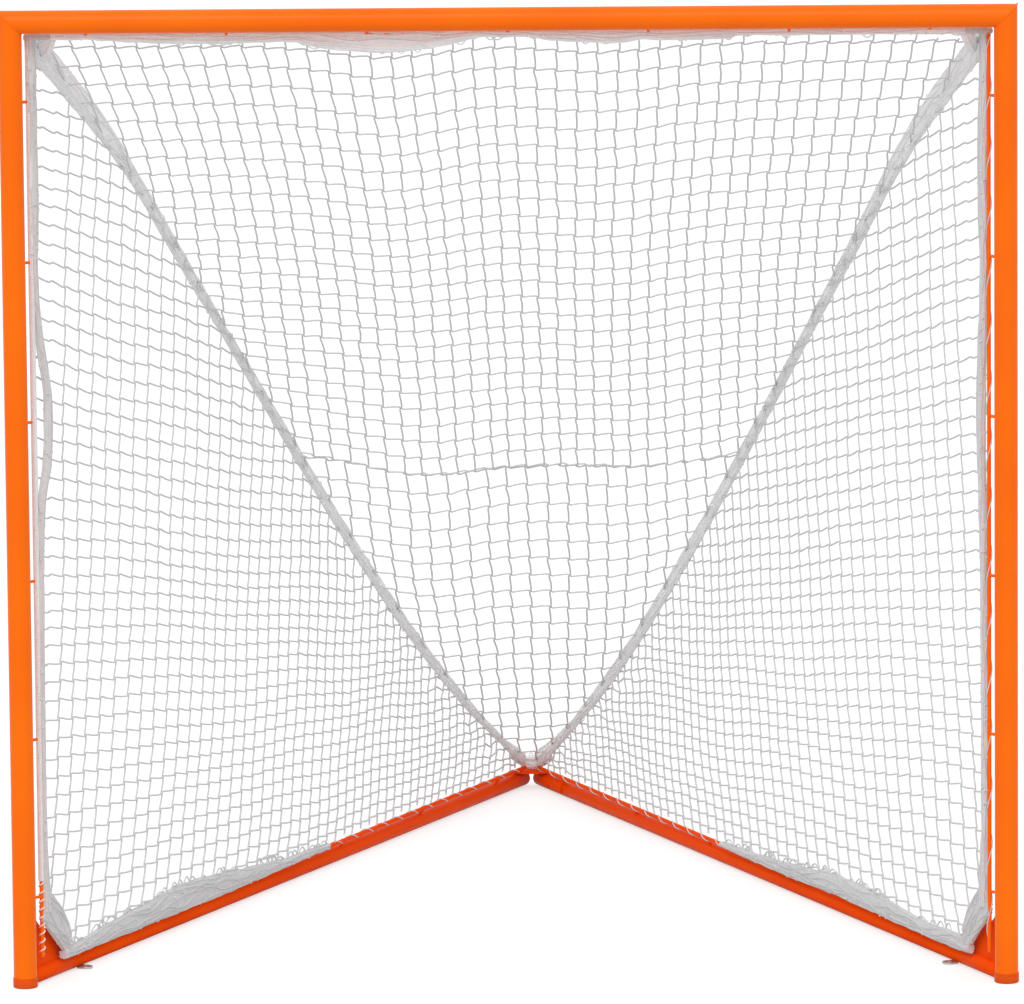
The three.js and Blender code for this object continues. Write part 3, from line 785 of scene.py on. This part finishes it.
# For the upper and the lower back panel: the start, slope, bow and skew of the rows' shares of the
# depth, and the columns' pitch, how much it narrows, and the shares between which it does
back_rows = ((-0.012, 0.727, -0.403, 0.196), (join_share, 0.428, -0.105, 0.127))
back_pitches = ((0.0392, 0.0030, -0.02, 0.30), (0.0400, 0.0047, 0.60, 0.85))
upper_draw, upper_draw_width = 0.010, 0.16
left_pull, left_pull_width = 0.022, 0.14
corner_pull, corner_pull_depth = 0.028, 0.05
left_wave, right_wave = 0.0164, 0.0110
left_curl, right_curl, curl_width = 0.012, 0.005, 0.09
back_belly = 0.02
back_wander = (0.004, 0.0016)

side_rows = 50
side_first_column = -0.13
side_column_pitch, side_column_loss = 0.056, 0.0215
side_row_pitch = 0.0368
side_row_gain, side_row_gain_rows = 0.030, 6
side_row_still, side_still_height = 0.38, 0.55
side_row_fall = 0.28
side_row_fade = 0.6
side_lean, side_lean_height = 0.07, 0.9
side_foot_pull, side_foot_height = 0.04, 0.15
side_bulge = 0.012
side_wander, side_edge_wander, side_edge_width = 0.003, 0.008, 0.05
side_rumple = 0.012


def braided(name, colour, shade):
    """Braided cord: matte, a little fuzzy, with the fine slanting ribs of its strands"""
    material, tree, place, tone = toned(name, colour, shade, 120, 3)
    ribs = add_node(tree, "ShaderNodeTexWave", {"Vector": place, "Scale": 320, "Distortion": 1.5,
                                                "Detail": 1}, bands_direction="DIAGONAL")
    relief = add_node(tree, "ShaderNodeMath", {0: ribs.outputs["Fac"], 1: clouds(tree, place, 2200, 2)},
                      operation="ADD")
    surface(tree, relief.outputs[0], 0.35, 0.0004,
            {"Base Color": tone, "Roughness": 0.85, "Specular IOR Level": 0.2})
    return material


net_cord = braided("net_cord", net_colour, net_shade)


def fade(place, start, end):
    """0 before start, 1 after end and a smooth rise between"""
    share = min(max((place - start) / (end - start), 0), 1)
    return share * share * (3 - 2 * share)


def swell(place, middle, width):
    """1 at the middle, falling off smoothly to both sides"""
    return math.exp(-((place - middle) / width) ** 2)


def close_to(gap, width):
    """1 at a line, falling off with the gap to it"""
    return math.exp(-max(gap, 0) / width)


def seam_height(share):
    """The seam's height, for a share of the way from the crossbar's rod to the apex"""
    swing = share * (1 - share) * (share - seam_cross_share)
    peak = seam_low_share * (1 - seam_low_share) * (seam_low_share - seam_cross_share)
    return bar_rod_height + (base_rod_height - bar_rod_height) * share - seam_sag * swing / peak


def below_seam(along, height):
    """How far below the slanting seam a place in a side net's plane lies"""
    share = (along - net_start) / (net_apex - net_start)
    return (seam_height(min(max(share, 0), 1)) - height) * seam_nearness


def in_back(x, share, drop=0.0):
    """A place on the back net, which runs level from seam to seam"""
    along = net_start + (net_apex - net_start) * share
    return Vector((x, in_net(1, along, 0).y, seam_height(share) - drop))


def back_place(lower):
    """Where column u and row v of the back net's upper or lower panel cross, as a function"""
    first, last = (join_row, row_count) if lower else (0, join_row)
    start, slope, bow, skew = back_rows[lower]
    pitch, narrowing, *narrowed = back_pitches[lower]
    wave_width = 0.145 - 0.03 * lower

    def place_of(u, v):
        wander = noise.noise_vector(Vector((u * 0.71, v * 0.71, 3.1 + lower)))
        mark = (v - first) / (last - first)
        share = start + mark * (slope + mark * (bow + mark * skew))
        x = (u - back_middle) * (pitch - narrowing * fade(share, *narrowed))
        if not lower:
            x -= upper_draw * math.tanh(x / upper_draw_width) * fade(share, 0.15, 0.45)
        edge = max(half_width * (1 - share), 0.01)
        if x < 0:
            pulled = fade(share, 0.14, 0.28) * (1 - fade(share, 0.30, 0.55))
            x -= left_pull * pulled * close_to(edge + x, left_pull_width)
        x += wander.x * back_wander[0]
        outer = min(abs(x) / half_width, 1)
        x += math.copysign(corner_pull, x) * close_to(share, corner_pull_depth) * outer ** 3
        half = swell(share, 0.50, 0.08)
        wave = left_wave * (1 - 0.4 * swell(share, 0.36, 0.10))
        wave *= swell(x, 0.03 * fade(share, 0.25, 0.35) - 0.23, wave_width)
        wave += right_wave * (1 - 0.4 * half) * swell(x, 0.175 + 0.09 * half, wave_width)
        curl = (left_curl if x < 0 else right_curl) * close_to(edge - abs(x), curl_width)
        wave -= curl * swell(share, 0.42, 0.13) * (1 - lower)
        share += wave * fade(share, -0.01, 0.012) * (1 - 0.25 * share) + wander.y * back_wander[1]
        belly = 4 * back_belly * share * (1 - share) * (1 - min(abs(x) / edge, 1) ** 2)
        return in_back(x, share, belly)
    return place_of


def back_inside(place_of, lower):
    """Whether a crossing of that panel lies between the rod, the join and the seams, as a function"""
    first, last = in_back(0, 0).y, in_back(0, 1).y

    def inside(u, v):
        if (v < join_row - 0.1) if lower else (v > join_row + 0.1):
            return False
        place = place_of(u, v)
        share = (place.y - first) / (last - first)
        return 0.001 < share < 1 and abs(place.x) < half_width * (1 - share) + 0.002
    return inside


side_columns = [side_first_column]
while side_columns[-1] < net_apex + 0.2:
    pitch = side_column_pitch - side_column_loss * fade(side_columns[-1], 0.2, 2.2)
    side_columns.append(side_columns[-1] + pitch)


def side_spot(side, u, v):
    """Where column u and row v of a side net cross: along its plane, above the ground, and inward"""
    wander = noise.noise_vector(Vector((u * 0.73, v * 0.73, 7.7 + side)))
    rumple = noise.noise_vector(Vector((u * 0.14, v * 0.14, 5.3 + side)))
    column = min(max(int(u), 0), len(side_columns) - 2)
    along = side_columns[column] + (side_columns[column + 1] - side_columns[column]) * (u - column)
    rise = max(side_row_pitch * v + side_row_gain * (1 - math.exp(-v / side_row_gain_rows)), 0.0001)
    still = side_row_still * (1 - close_to(along, side_row_still))
    fan = along - still * math.exp(-(rise / side_still_height) ** 2)
    swollen = (math.exp(rise / side_row_fade) - 1) * math.exp(-side_row_fall * fan / side_row_fade)
    height = base_rod_height + side_row_fade * math.log(1 + swollen)
    bulge = side_bulge * math.sin(2.2 * along) * math.sin(1.7 * height)
    stray = side_wander + side_edge_wander * close_to(below_seam(along, height), side_edge_width)
    along += side_lean * (height - side_lean_height) - side_foot_pull * close_to(height, side_foot_height)
    along += wander.x * stray + rumple.x * side_rumple
    height += wander.y * stray + rumple.y * side_rumple * fade(rise, 0, 0.2)
    return along, height, bulge


def side_place(side):
    """Where column u and row v of a side net cross, as a function"""
    return lambda u, v: in_net(side, *side_spot(side, u, v))


def side_inside(side):
    """Whether a crossing lies between the post, the seam and the rods near the ground, as a function"""
    def inside(u, v):
        along, height, _ = side_spot(side, u, v)
        above_corner = (height - base_rod_height) / corner_rise + (along - net_start) / corner_run > 1
        return above_corner and net_start < along < net_apex and height > base_rod_height + 0.002 \
            and below_seam(along, height) > -0.004
    return inside


def lattice(place_of, inside, columns, rows):
    """The cords of a net, as runs of points, and the places of its knots"""
    runs = []
    knots = []
    for rows_first in (True, False):
        kinks = row_kinks if rows_first else column_kinks
        count, reach = (rows, columns) if rows_first else (columns, rows)
        for line in range(count):
            run = []
            for step in range(reach * len(kinks)):
                share, kink = kinks[step % len(kinks)]
                travel = step // len(kinks) + share
                u, v = (travel, line + kink) if rows_first else (line + kink, travel)
                if inside(u, v):
                    run.append((place_of(u, v), 1))
                    if rows_first and share == 0:
                        knots.append((place_of(travel, line), place_of(travel + 0.2, line)))
                elif len(run) > 1:
                    break
                else:
                    run = []
            if len(run) > 1:
                runs.append(run)
    return runs, knots


def scattered(radius, knots):
    """A small lump at each knot, drawn out a little along the row"""
    ball = bmesh.new()
    bmesh.ops.create_icosphere(ball, subdivisions=1, radius=radius)
    corners = [point.co.copy() for point in ball.verts]
    facets = [[point.index for point in face.verts] for face in ball.faces]
    ball.free()
    points, faces = [], []
    for place, ahead in knots:
        turn = towards(place, ahead - place) @ Matrix.Diagonal((1, 1, knot_stretch, 1))
        first = len(points)
        points += [turn @ corner for corner in corners]
        faces += [[first + index for index in facet] for facet in facets]
    mesh = bpy.data.meshes.new("knots")
    mesh.from_pydata(points, [], faces)
    shape = bmesh.new()
    shape.from_mesh(mesh)
    bpy.data.meshes.remove(mesh)
    return shape


def netting(name, place_of, inside, columns, rows):
    """The cords and knots of a net, as shapes"""
    runs, knots = lattice(place_of, inside, columns, rows)
    return [strings(name, runs, cord_radius), scattered(knot_radius, knots)]


noise.seed_set(noise_seed)
panels = []
for lower in (0, 1):
    place_of = back_place(lower)
    panels += netting("back_net_cords", place_of, back_inside(place_of, lower), back_columns, row_count + 1)
finish_piece("back_net_mesh", joined(panels), net_cord, "net_cord", "back_net")

for side, name in both("side_net"):
    net = netting(name + "_cords", side_place(side), side_inside(side), len(side_columns), side_rows)
    finish_piece(name + "_mesh", joined(net), net_cord, "net_cord", name)

# Seam bands: down both seams the edges of two nets are bunched, folded and sewn into one thick strip,
# with cords all over it. It is widest below the top corner and narrow from a third of the way down.
# The seams and the top edge get a lighter copy of the net's cord, which is painted light for the
# shade that they lie in.
# Painted light: a lighter copy of the net cord's colours, for parts that lie in shade.
lit_cord_colour = (0.90, 0.90, 0.905, 1)
lit_cord_deep = (0.84, 0.84, 0.845, 1)
lit_cord = braided("lit_cord", lit_cord_colour, lit_cord_deep)
seam_marks = (0.0, 0.02, 0.05, 0.09, 0.125, 0.17, 0.20, 0.25, 0.30, 0.36, 0.50, 0.80, 0.93, 0.97, 1.0)
left_seam_widths = (0.030, 0.050, 0.050, 0.049, 0.043, 0.032, 0.025, 0.025, 0.023, 0.018, 0.022, 0.020,
                    0.012, 0.022, 0.030)
right_seam_widths = (0.030, 0.050, 0.050, 0.050, 0.046, 0.040, 0.034, 0.030, 0.026, 0.022, 0.024, 0.023,
                     0.018, 0.032, 0.034)
seam_first_share = 0.006
seam_band_share = 0.974
seam_lift = 0.018
seam_thickness = 0.011
seam_reach = math.hypot(net_apex - net_start, bar_rod_height - base_rod_height)

band_step = 0.010
band_sides = 18
band_cord = 0.0015
fold_across, fold_apart, fold_along, fold_height = 60, 2.3, 7, 0.22
ragged_flow, ragged_reach = 38, 0.0016
cord_flow, cord_apart, cord_sway, cord_swell = 10, 3.7, 1.1, 0.2
cord_rise, lump_rise = 0.3, 0.4
loop_steps = 6
loop_root = 0.002
lump_pitch = 0.016
upper_edge, lower_edge = 0, math.pi
small_loop = (0.070, 0.022, 0.006)


def follow(places, values, place):
    """The value at a place on a smooth curve through the given places and values"""
    if place <= places[0]:
        return values[0]
    if place >= places[-1]:
        return values[-1]
    index = max(i for i, mark in enumerate(places[:-1]) if mark <= place)

    def slope(at):
        low, high = max(at - 1, 0), min(at + 1, len(places) - 1)
        return (values[high] - values[low]) / (places[high] - places[low])

    width = places[index + 1] - places[index]
    share = (place - places[index]) / width
    rise = share * share * (3 - 2 * share)
    start = slope(index) * width * share * (1 - share) ** 2
    end = slope(index + 1) * width * share * share * (share - 1)
    return values[index] * (1 - rise) + values[index + 1] * rise + start + end


def on_band(spine, travel, turn, seed, lift=0.0):
    """A place on a band's folded skin, a distance along it and an angle round it"""
    centre, across, through, width, thickness = spine(travel)
    lane, face = math.cos(turn), math.copysign(1, math.sin(turn))
    depth = face * math.sqrt(1 - lane ** 4)
    folds = noise.noise(Vector((lane * width * fold_across, face * fold_apart,
                                travel * fold_along + seed)))
    ragged = noise.noise(Vector((math.copysign(1, lane), travel * ragged_flow, seed)))
    reach = width / 2 + ragged_reach * ragged
    rise = thickness / 2 * (1 + fold_height * folds) + lift
    return centre + across * (lane * reach) + through * (depth * rise)


def bundle(name, spine, reach, count, seed, cord, edges, loop, rests_on, *nodes):
    """A gathered edge. The spine gives a centre, the directions across and through the band, its width
    and its thickness, for a distance along it. Loops of slack cord, given by their spacing, length
    and height, stand out at the edges"""
    steps = max(5, round(reach / band_step))
    skin = bmesh.new()
    rings = [[skin.verts.new(on_band(spine, reach * step / steps, turn, seed))
              for turn in ring_turns(band_sides)] for step in range(steps + 1)]
    for first, second in zip(rings, rings[1:]):
        for index in range(band_sides):
            after = (index + 1) % band_sides
            skin.faces.new((first[index], first[after], second[after], second[index]))
    skin.faces.new(rings[0])
    skin.faces.new(rings[-1])
    bmesh.ops.recalc_face_normals(skin, faces=skin.faces)
    area = sum(face.calc_area() for face in skin.faces) / 2
    strip = finish_piece(name, skin, cord, "net_cord", *nodes)

    runs = []
    for number in range(count):
        run = []
        for step in range(steps + 1):
            travel = reach * step / steps
            drift = noise.noise_vector(Vector((travel * cord_flow, number * cord_apart, seed)))
            turn = full_turn * number / count + drift.x * cord_sway
            place = on_band(spine, travel, turn, seed, band_cord * cord_rise)
            run.append((place, 1 + cord_swell * drift.z))
        runs.append(run)
    spacing, mean_span, mean_height = loop
    for _ in range(round(reach / spacing)):
        start = reach * noise.random()
        span, height = mean_span * (0.6 + 0.8 * noise.random()), mean_height * (0.5 + noise.random())
        turn = edges[int(noise.random() * len(edges))]
        run = []
        for step in range(loop_steps + 1):
            travel = min(start + span * step / loop_steps, reach)
            out = math.cos(turn) * (height * math.sin(math.pi * step / loop_steps) - loop_root)
            run.append((on_band(spine, travel, turn, seed) + spine(travel)[1] * out, 1))
        if start + span < reach:
            runs.append(run)
    lumps = []
    for _ in range(round(reach / lump_pitch)):
        travel, turn = reach * noise.random(), full_turn * noise.random()
        place = on_band(spine, travel, turn, seed, band_cord * lump_rise)
        lumps.append((place, place + spine(travel)[1]))
    shape = joined([strings(name, runs, band_cord), scattered(knot_radius, lumps)])
    cords = finish_piece(name + "_cords", shape, cord, "net_cord")


def seam_spine(side):
    """The spine of a seam band, from the corner down to the apex"""
    widths = left_seam_widths if side < 0 else right_seam_widths
    back, inward = net_ways(side)

    def spine(travel):
        share = seam_first_share + travel / seam_reach * seam_band_share
        along = net_start + (net_apex - net_start) * share
        height = seam_height(share) + seam_lift * swell(share, 0.16, 0.09)
        slope = (seam_height(share + 0.001) - seam_height(share)) / (0.001 * (net_apex - net_start))
        down = Vector((1, slope)).normalized()
        across = up * down.x - back * down.y
        width = follow(seam_marks, widths, share)
        return in_net(side, along, height), across, inward, width, seam_thickness
    return spine


for side, hand in hands:
    bundle(f"{hand}_seam_band", seam_spine(side), seam_reach, 20, 2.5 + side, lit_cord,
           (upper_edge, lower_edge), small_loop, ["back_net_mesh", f"{hand}_side_net_mesh"],
           f"{hand}_seam_cord")

# Apex gather: the seams' ends and the bottom of the back net, bunched in a shallow cup. They are
# drawn together with cord, in the seams' lighter copy of it, which is painted light.
cup_reach = 0.056
cup_draw = 0.8
cup_bow = 0.03
cup_foot, cup_rise = 0.010, 0.026
cup_width, cup_flare = 0.026, 0.008
cup_thickness = 0.012
cup_back = in_back(0, 1).y - 0.024


def apex_spine(travel):
    """The spine of the cup, from the left seam to the right one"""
    share = travel / cup_reach - 1
    centre = Vector((share * cup_reach * cup_draw, cup_back - cup_bow * share * share,
                     base_rod_height + cup_foot + cup_rise * share * share))
    return centre, up, Vector((0, 1, 0)), cup_width + cup_flare * share, cup_thickness


bundle("apex_gather", apex_spine, 2 * cup_reach, 10, 31.7, lit_cord, (upper_edge,), small_loop,
       ["left_seam_band", "right_seam_band"])

# Top band: the back net's upper edge, gathered over the crossbar's rod, in the seams' lighter cord,
# which is painted light in the crossbar's shade. It hangs deepest to the left of the middle.
swag_marks = (-0.90, -0.86, -0.80, -0.76, -0.66, -0.55, -0.40, -0.35, -0.31, -0.24, -0.19, -0.14, -0.07,
              -0.03, 0.01, 0.03, 0.08, 0.15, 0.21, 0.25, 0.3, 0.38, 0.42, 0.44, 0.47, 0.90)
swag_depths = (0.006, 0.006, 0.011, 0.016, 0.022, 0.023, 0.022, 0.034, 0.038, 0.043, 0.040, 0.034, 0.018,
               0.009, 0.008, 0.011, 0.021, 0.025, 0.027, 0.021, 0.023, 0.021, 0.020, 0.011, 0.008, 0.006)
band_thickness = 0.0125
band_start = 0.862
rod_wrap = 0.0013


def top_spine(travel):
    """The spine of the band along the crossbar's rod"""
    x = travel - band_start
    upper = bar_rod_height + rod_radius + rod_wrap
    lower = min(bar_height - tube_radius - follow(swag_marks, swag_depths, x),
                bar_rod_height - rod_radius - rod_wrap)
    return at_rods(x, (upper + lower) / 2, 0.001), up, Vector((0, 1, 0)), upper - lower, band_thickness


bundle("top_band", top_spine, 2 * band_start, 18, 5.1, lit_cord, (lower_edge,), small_loop,
       ["crossbar_lacing_rod"])

# Top gathers: the spare net at each end of the top band, drawn down into the seam and bound with
# cord, in the seams' lighter copy of it, which is painted light. Each narrows to a rope of folds at the
# rod.
gather_steps = 12
gather_drop = 0.002
gather_end = (0.045, 0.034, 0.004)
gather_sag = 0.006
gather_narrow, gather_wide = 0.020, 0.034
gather_thickness = 0.010


def gather_line(side):
    """Points from the top band's end down into the seam"""
    along, drop, inward = gather_end
    start = at_rods(side * band_start, bar_rod_height - gather_drop)
    end = in_net(side, net_start + along, bar_rod_height - drop, inward)
    return bend(start, start.lerp(end, 0.5) - up * gather_sag, end, gather_steps)


def gather_spine(line, reach):
    """The spine of a gather along the points"""
    def spine(travel):
        place = min(travel / reach, 1) * gather_steps
        index = min(int(place), gather_steps - 1)
        direction = (line[index + 1] - line[index]).normalized()
        across = direction.cross(Vector((0, 1, 0))).normalized()
        width = gather_narrow + (gather_wide - gather_narrow) * place / gather_steps
        centre = line[index].lerp(line[index + 1], place - index)
        return centre, across, direction.cross(across), width, gather_thickness
    return spine


for side, hand in hands:
    line = gather_line(side)
    reach = (line[-1] - line[0]).length
    bundle(f"{hand}_top_gather", gather_spine(line, reach), reach, 8, 41.3 + side, lit_cord,
           (upper_edge,), small_loop, ["top_band", f"{hand}_seam_band"])

# Post bands: the side nets' front edges, gathered behind the posts. The left one hugs its rod and
# leaves it for a while halfway up, and the right one hangs a little behind its rod.
post_marks = (0.17, 0.30, 0.75, 0.93, 1.00, 1.12, 1.22, 1.30, 1.38, 1.44, 1.60, 1.81)
left_post_places = (0.006, 0.005, 0.006, 0.012, 0.023, 0.026, 0.016, 0.008, 0.003, 0.002, 0.002, 0.000)
left_post_widths = (0.020, 0.010, 0.011, 0.012, 0.016, 0.018, 0.012, 0.010, 0.012, 0.020, 0.024, 0.026)
right_post_places = (0.010, 0.008, 0.009, 0.012, 0.014, 0.014, 0.012, 0.010, 0.009, 0.009, 0.009, 0.004)
right_post_widths = (0.018, 0.012, 0.012, 0.014, 0.016, 0.016, 0.014, 0.012, 0.014, 0.018, 0.022, 0.024)
post_band_foot = corner_top + 0.012
band_inward = 0.001
drawn_inward = 0.55


def post_spine(side):
    """The spine of the band beside a post's rod, from the corner rod up"""
    places = left_post_places if side < 0 else right_post_places
    widths = left_post_widths if side < 0 else right_post_widths
    back, inward = net_ways(side)

    def spine(travel):
        height = post_band_foot + travel
        width = follow(post_marks, widths, height)
        drawn = follow(post_marks, places, height)
        along = net_start - rod_radius - rod_wrap + drawn + width / 2
        centre = in_net(side, along, height, band_inward + drawn * drawn_inward)
        return centre, back, inward, width, band_thickness
    return spine


for side, name in both("post"):
    bundle(name + "_band", post_spine(side), bar_rod_height - post_band_foot, 12, 8.4 + side, net_cord,
           (upper_edge,), small_loop, [name + "_lacing_rod"])

# Base bands: heaps of the side nets' spare meshes, gathered over the rails' rods. They thin out
# beyond the middle of the rails, and wide loops of slack cord stand up along them.
base_marks = (0.12, 0.20, 0.32, 0.47, 0.61, 0.73, 0.82, 0.97, 1.12, 1.22, 1.30)
left_base_tops = (0.017, 0.024, 0.035, 0.044, 0.053, 0.051, 0.042, 0.032, 0.022, 0.019, 0.0165)
right_base_tops = (0.028, 0.030, 0.027, 0.036, 0.045, 0.047, 0.040, 0.030, 0.022, 0.019, 0.0165)
base_loop = (0.034, 0.036, 0.011)
heap_start = corner_end - base_rod_lead
heap_thins = 0.8
heap_end = 1.30
heap_thinning = 0.0025
heap_lead = 0.003
heap_lift = 0.0012
heap_wrap = 0.0005
right_heap_gap = (0.75, 0.22)


def base_spine(side):
    """The spine of the band above a rail's rod"""
    tops = left_base_tops if side < 0 else right_base_tops
    _, inward = net_ways(side)

    def spine(travel):
        along = heap_start - heap_lead + travel
        thinned = fade(along, heap_thins, heap_end)
        upper = 2 * rail_radius + follow(base_marks, tops, along)
        wrapped = base_rod_height - rod_radius - heap_wrap
        lower = 2 * rail_radius + heap_lift + (wrapped - 2 * rail_radius) * thinned
        if side > 0:
            lower += (wrapped - lower) * swell(along, *right_heap_gap)
        centre = in_net(side, along, (upper + lower) / 2, band_inward)
        return centre, up, inward, upper - lower, band_thickness - heap_thinning * thinned
    return spine


for side, name in both("base"):
    bundle(name + "_band", base_spine(side), heap_end - heap_start, 16, 12.6 + side, net_cord,
           (upper_edge,), base_loop, [name + "_lacing_rod"])

# Corner bands: the side nets' lowest corners, heaps of folded mesh that wrap the slanting rods and
# are drawn up beside the posts' rods. Their open edge curves from the post down to the rail.
corner_reach = math.hypot(corner_run, corner_rise)
corner_thickness = 0.0120
corner_steps = 20
corner_edge = ((net_start + 0.006, corner_top + 0.058), (net_start + 0.085, corner_top + 0.020),
               (corner_end + 0.012, base_rod_height + 0.036))


def corner_spine(side):
    """The spine of the band between the slanting rod and the open net above it"""
    top, foot = Vector((net_start, corner_top)), Vector((corner_end, base_rod_height))
    outward = Vector((-corner_rise, -corner_run)).normalized() * (rod_radius + rod_wrap)
    edge = bend(*[Vector(place) for place in corner_edge], corner_steps)
    back, inward = net_ways(side)

    def spine(travel):
        share = min(travel / corner_reach, 1)
        index = min(int(share * corner_steps), corner_steps - 1)
        under = top.lerp(foot, share) + outward
        over = edge[index].lerp(edge[index + 1], share * corner_steps - index)
        middle, gap = (under + over) / 2, over - under
        across = (back * gap.x + up * gap.y).normalized()
        return in_net(side, middle.x, middle.y, band_inward), across, inward, gap.length, corner_thickness
    return spine


for side, name in both("corner"):
    bundle(name + "_band", corner_spine(side), corner_reach, 22, 21.3 + side, net_cord, (upper_edge,),
           small_loop, [name + "_lacing_rod"])

# Lacing: white cord wound round the rods, turn on turn at the top corners and down the left post, and
# in open turns where the rods show. The left post's is the seams' lighter cord, a painted highlight.
lacing_radius = 0.0014
thin_lacing = lacing_radius * 0.8
lacing_turn_steps = 9
loose_pitch, loose_share = 0.004, 0.12
left_foot_pitch, left_pitch, right_pitch = 0.0160, 0.0028, 0.1116
bar_pitch = 0.0027
base_pitch = 0.072
left_close_height = 0.20
lacing_inset = 0.03
post_lacing_lead, bar_lacing_lead, bar_lacing_end = 0.004, 0.006, 0.001


def wound(start, end, pitch):
    """A cord wound round a rod between two places, as a run of points"""
    reach = (end - start).length
    turns = reach / pitch
    line = towards(start, end - start)
    run = []
    for step in range(round(turns * lacing_turn_steps) + 1):
        turn = full_turn * step / lacing_turn_steps
        ring = rod_radius + thin_lacing
        if pitch > loose_pitch:
            ring *= 1 + loose_share * noise.noise(Vector((step * 0.3, pitch * 90, 0.5)))
        travel = reach * min(step / (turns * lacing_turn_steps), 1)
        run.append((line @ Vector((ring * math.cos(turn), ring * math.sin(turn), travel)), 1))
    return run


for side, hand in hands:
    foot, change, head = [at_rods(side * half_width, height) for height in
                          (rod_foot + post_lacing_lead, left_close_height, bar_rod_height - 2 * rod_radius)]
    bar_start, bar_end = [at_rods(side * x, bar_rod_height) for x in
                          (band_start - bar_lacing_lead, rod_end - bar_lacing_end)]
    heap, tail = [in_net(side, along - lacing_inset, base_rod_height) for along in (heap_end, net_apex)]
    if side < 0:
        post_runs = [wound(foot, change, left_foot_pitch), wound(change, head, left_pitch)]
        # The left post's lacing takes the lighter cord as a painted highlight.
        post_radius, post_cord = lacing_radius, lit_cord
    else:
        post_runs = [wound(foot, head, right_pitch)]
        post_radius, post_cord = thin_lacing, net_cord
    for part, runs, radius, cord in (
            ("post", post_runs, post_radius, post_cord),
            ("bar", [wound(bar_start, bar_end, bar_pitch)], lacing_radius, net_cord),
            ("base", [wound(heap, tail, base_pitch)], thin_lacing, net_cord)):
        finish_piece(f"{hand}_{part}_lacing", strings("lacing", runs, radius), cord, "net_cord")
